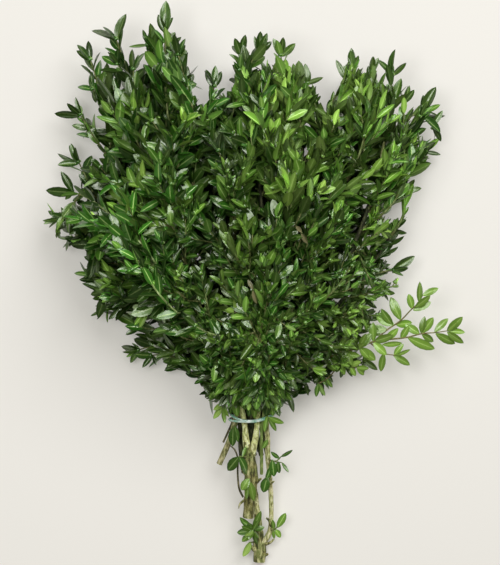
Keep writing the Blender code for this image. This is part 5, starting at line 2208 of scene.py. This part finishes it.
    def add_stem_shoots(self, growth: Growth, host: Host) -> None:
        """Grow the shoots that stand round a stem inside the bunch.

        Args:
            growth: What grows them.
            host: The stem's arm.
        """
        distance, number = host.first, 0
        while distance < host.route.length - 4:
            place, heading, radius = host.route.at(distance)
            turn = number * GOLDEN_ANGLE + len(host.name)
            outward = Quaternion(heading, turn) @ square_to(heading)
            low = held((-40 - place.y) / 50)
            angle = math.radians(46 + 34 * low + growth.chance.gauss(0, 9))
            reach = growth.chance.uniform(34, 58) * (1 - 0.35 * low)
            away = heading * math.cos(angle) + outward * math.sin(angle)
            for shorter in (1.0, 0.75, 0.5):
                end = place + (away * 0.85 + heading * 0.2) * (reach * shorter) + growth.wander(3)
                end = self.envelope.eased(end, 7.0)
                if self.envelope.holds(end, 1.08):
                    middle = place + away * (reach * shorter * 0.5)
                    stops = ((*place, 0.8), (*middle, 0.62), (*end, 0.38))
                    habit = Habit(bare=7, pair_gap=7.4, side_shoots=0.3, side_reach=24)
                    growth.shoot(Route.through(stops, 4), habit)
                    break
            distance += self.shoot_gap * growth.chance.uniform(0.8, 1.2)
            number += 1


class Lamp(NamedTuple):
    """A square lamp that looks at the middle of the bunch."""

    name: str
    power: float
    size: float
    place: tuple[float, float, float]


@dataclass(frozen=True)
class Studio:
    """The floor, the light and the camera."""

    floor_size: float = 8.0
    floor: tuple = shade(247, 244, 239)
    floor_glow: float = 0.28
    sky: tuple = (1.0, 0.95, 0.62, 1.0)
    ambient: float = 0.115
    lamps: tuple = (
        Lamp("key", 54.0, 2.0, (0.92, 1.46, 1.99)),
        Lamp("side", 11.5, 0.8, (-0.52, 0.16, 1.78)),
    )
    camera_place: tuple = (-0.0026, 0.0017, 2.43)
    lens: float = 175.8

    def build(self) -> None:
        """Set up the studio."""
        bm = bmesh.new()
        bmesh.ops.create_grid(bm, x_segments=1, y_segments=1, size=self.floor_size / 2)
        surface = finished_object("floor", bm, (FloorFinish(self.floor, self.floor_glow).make(),))
        world = bpy.data.worlds.new("studio")
        world.use_nodes = True
        back = world.node_tree.nodes["Background"]
        back.inputs["Color"].default_value = self.sky
        back.inputs["Strength"].default_value = self.ambient
        bpy.context.scene.world = world
        for lamp in self.lamps:
            light = bpy.data.lights.new(lamp.name, "AREA")
            light.energy = lamp.power
            light.size = lamp.size
            placed = put_in_scene(bpy.data.objects.new(lamp.name, light))
            placed.location = lamp.place
            placed.rotation_euler = (-Vector(lamp.place)).to_track_quat("-Z", "Y").to_euler()
        camera = put_in_scene(bpy.data.objects.new("camera", bpy.data.cameras.new("camera")))
        camera.location = self.camera_place
        camera.data.lens = self.lens
        camera.data.clip_start = 0.01
        bpy.context.scene.camera = camera
        bpy.context.scene.view_settings.view_transform = "Standard"
        log.info("studio: ready")


def main() -> None:
    """Load the frame and build the bunch and the studio round it."""
    logging.basicConfig(level=logging.INFO, format="%(name)s %(message)s")
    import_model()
    leaves_and_barks = (LeafFinish(), DRY_LEAF, *BARK_FINISHES)
    every_finish = (*leaves_and_barks, CutWoodFinish(), RubberFinish())
    finishes = {finish.name: finish.make() for finish in every_finish}
    moulds = {form: LeafMould(form.value).press(f"mould_{form.name.lower()}") for form in LeafForm}
    moulds[None] = press_bud()
    RubberBand().build(finishes)
    bunch = Bunch(moulds, finishes)
    bunch.build_stems()
    bunch.build_foliage()
    for sprig in OPEN_SPRIGS:
        sprig.build(moulds, finishes)
    Studio().build()


if __name__ == "__main__":
    main()
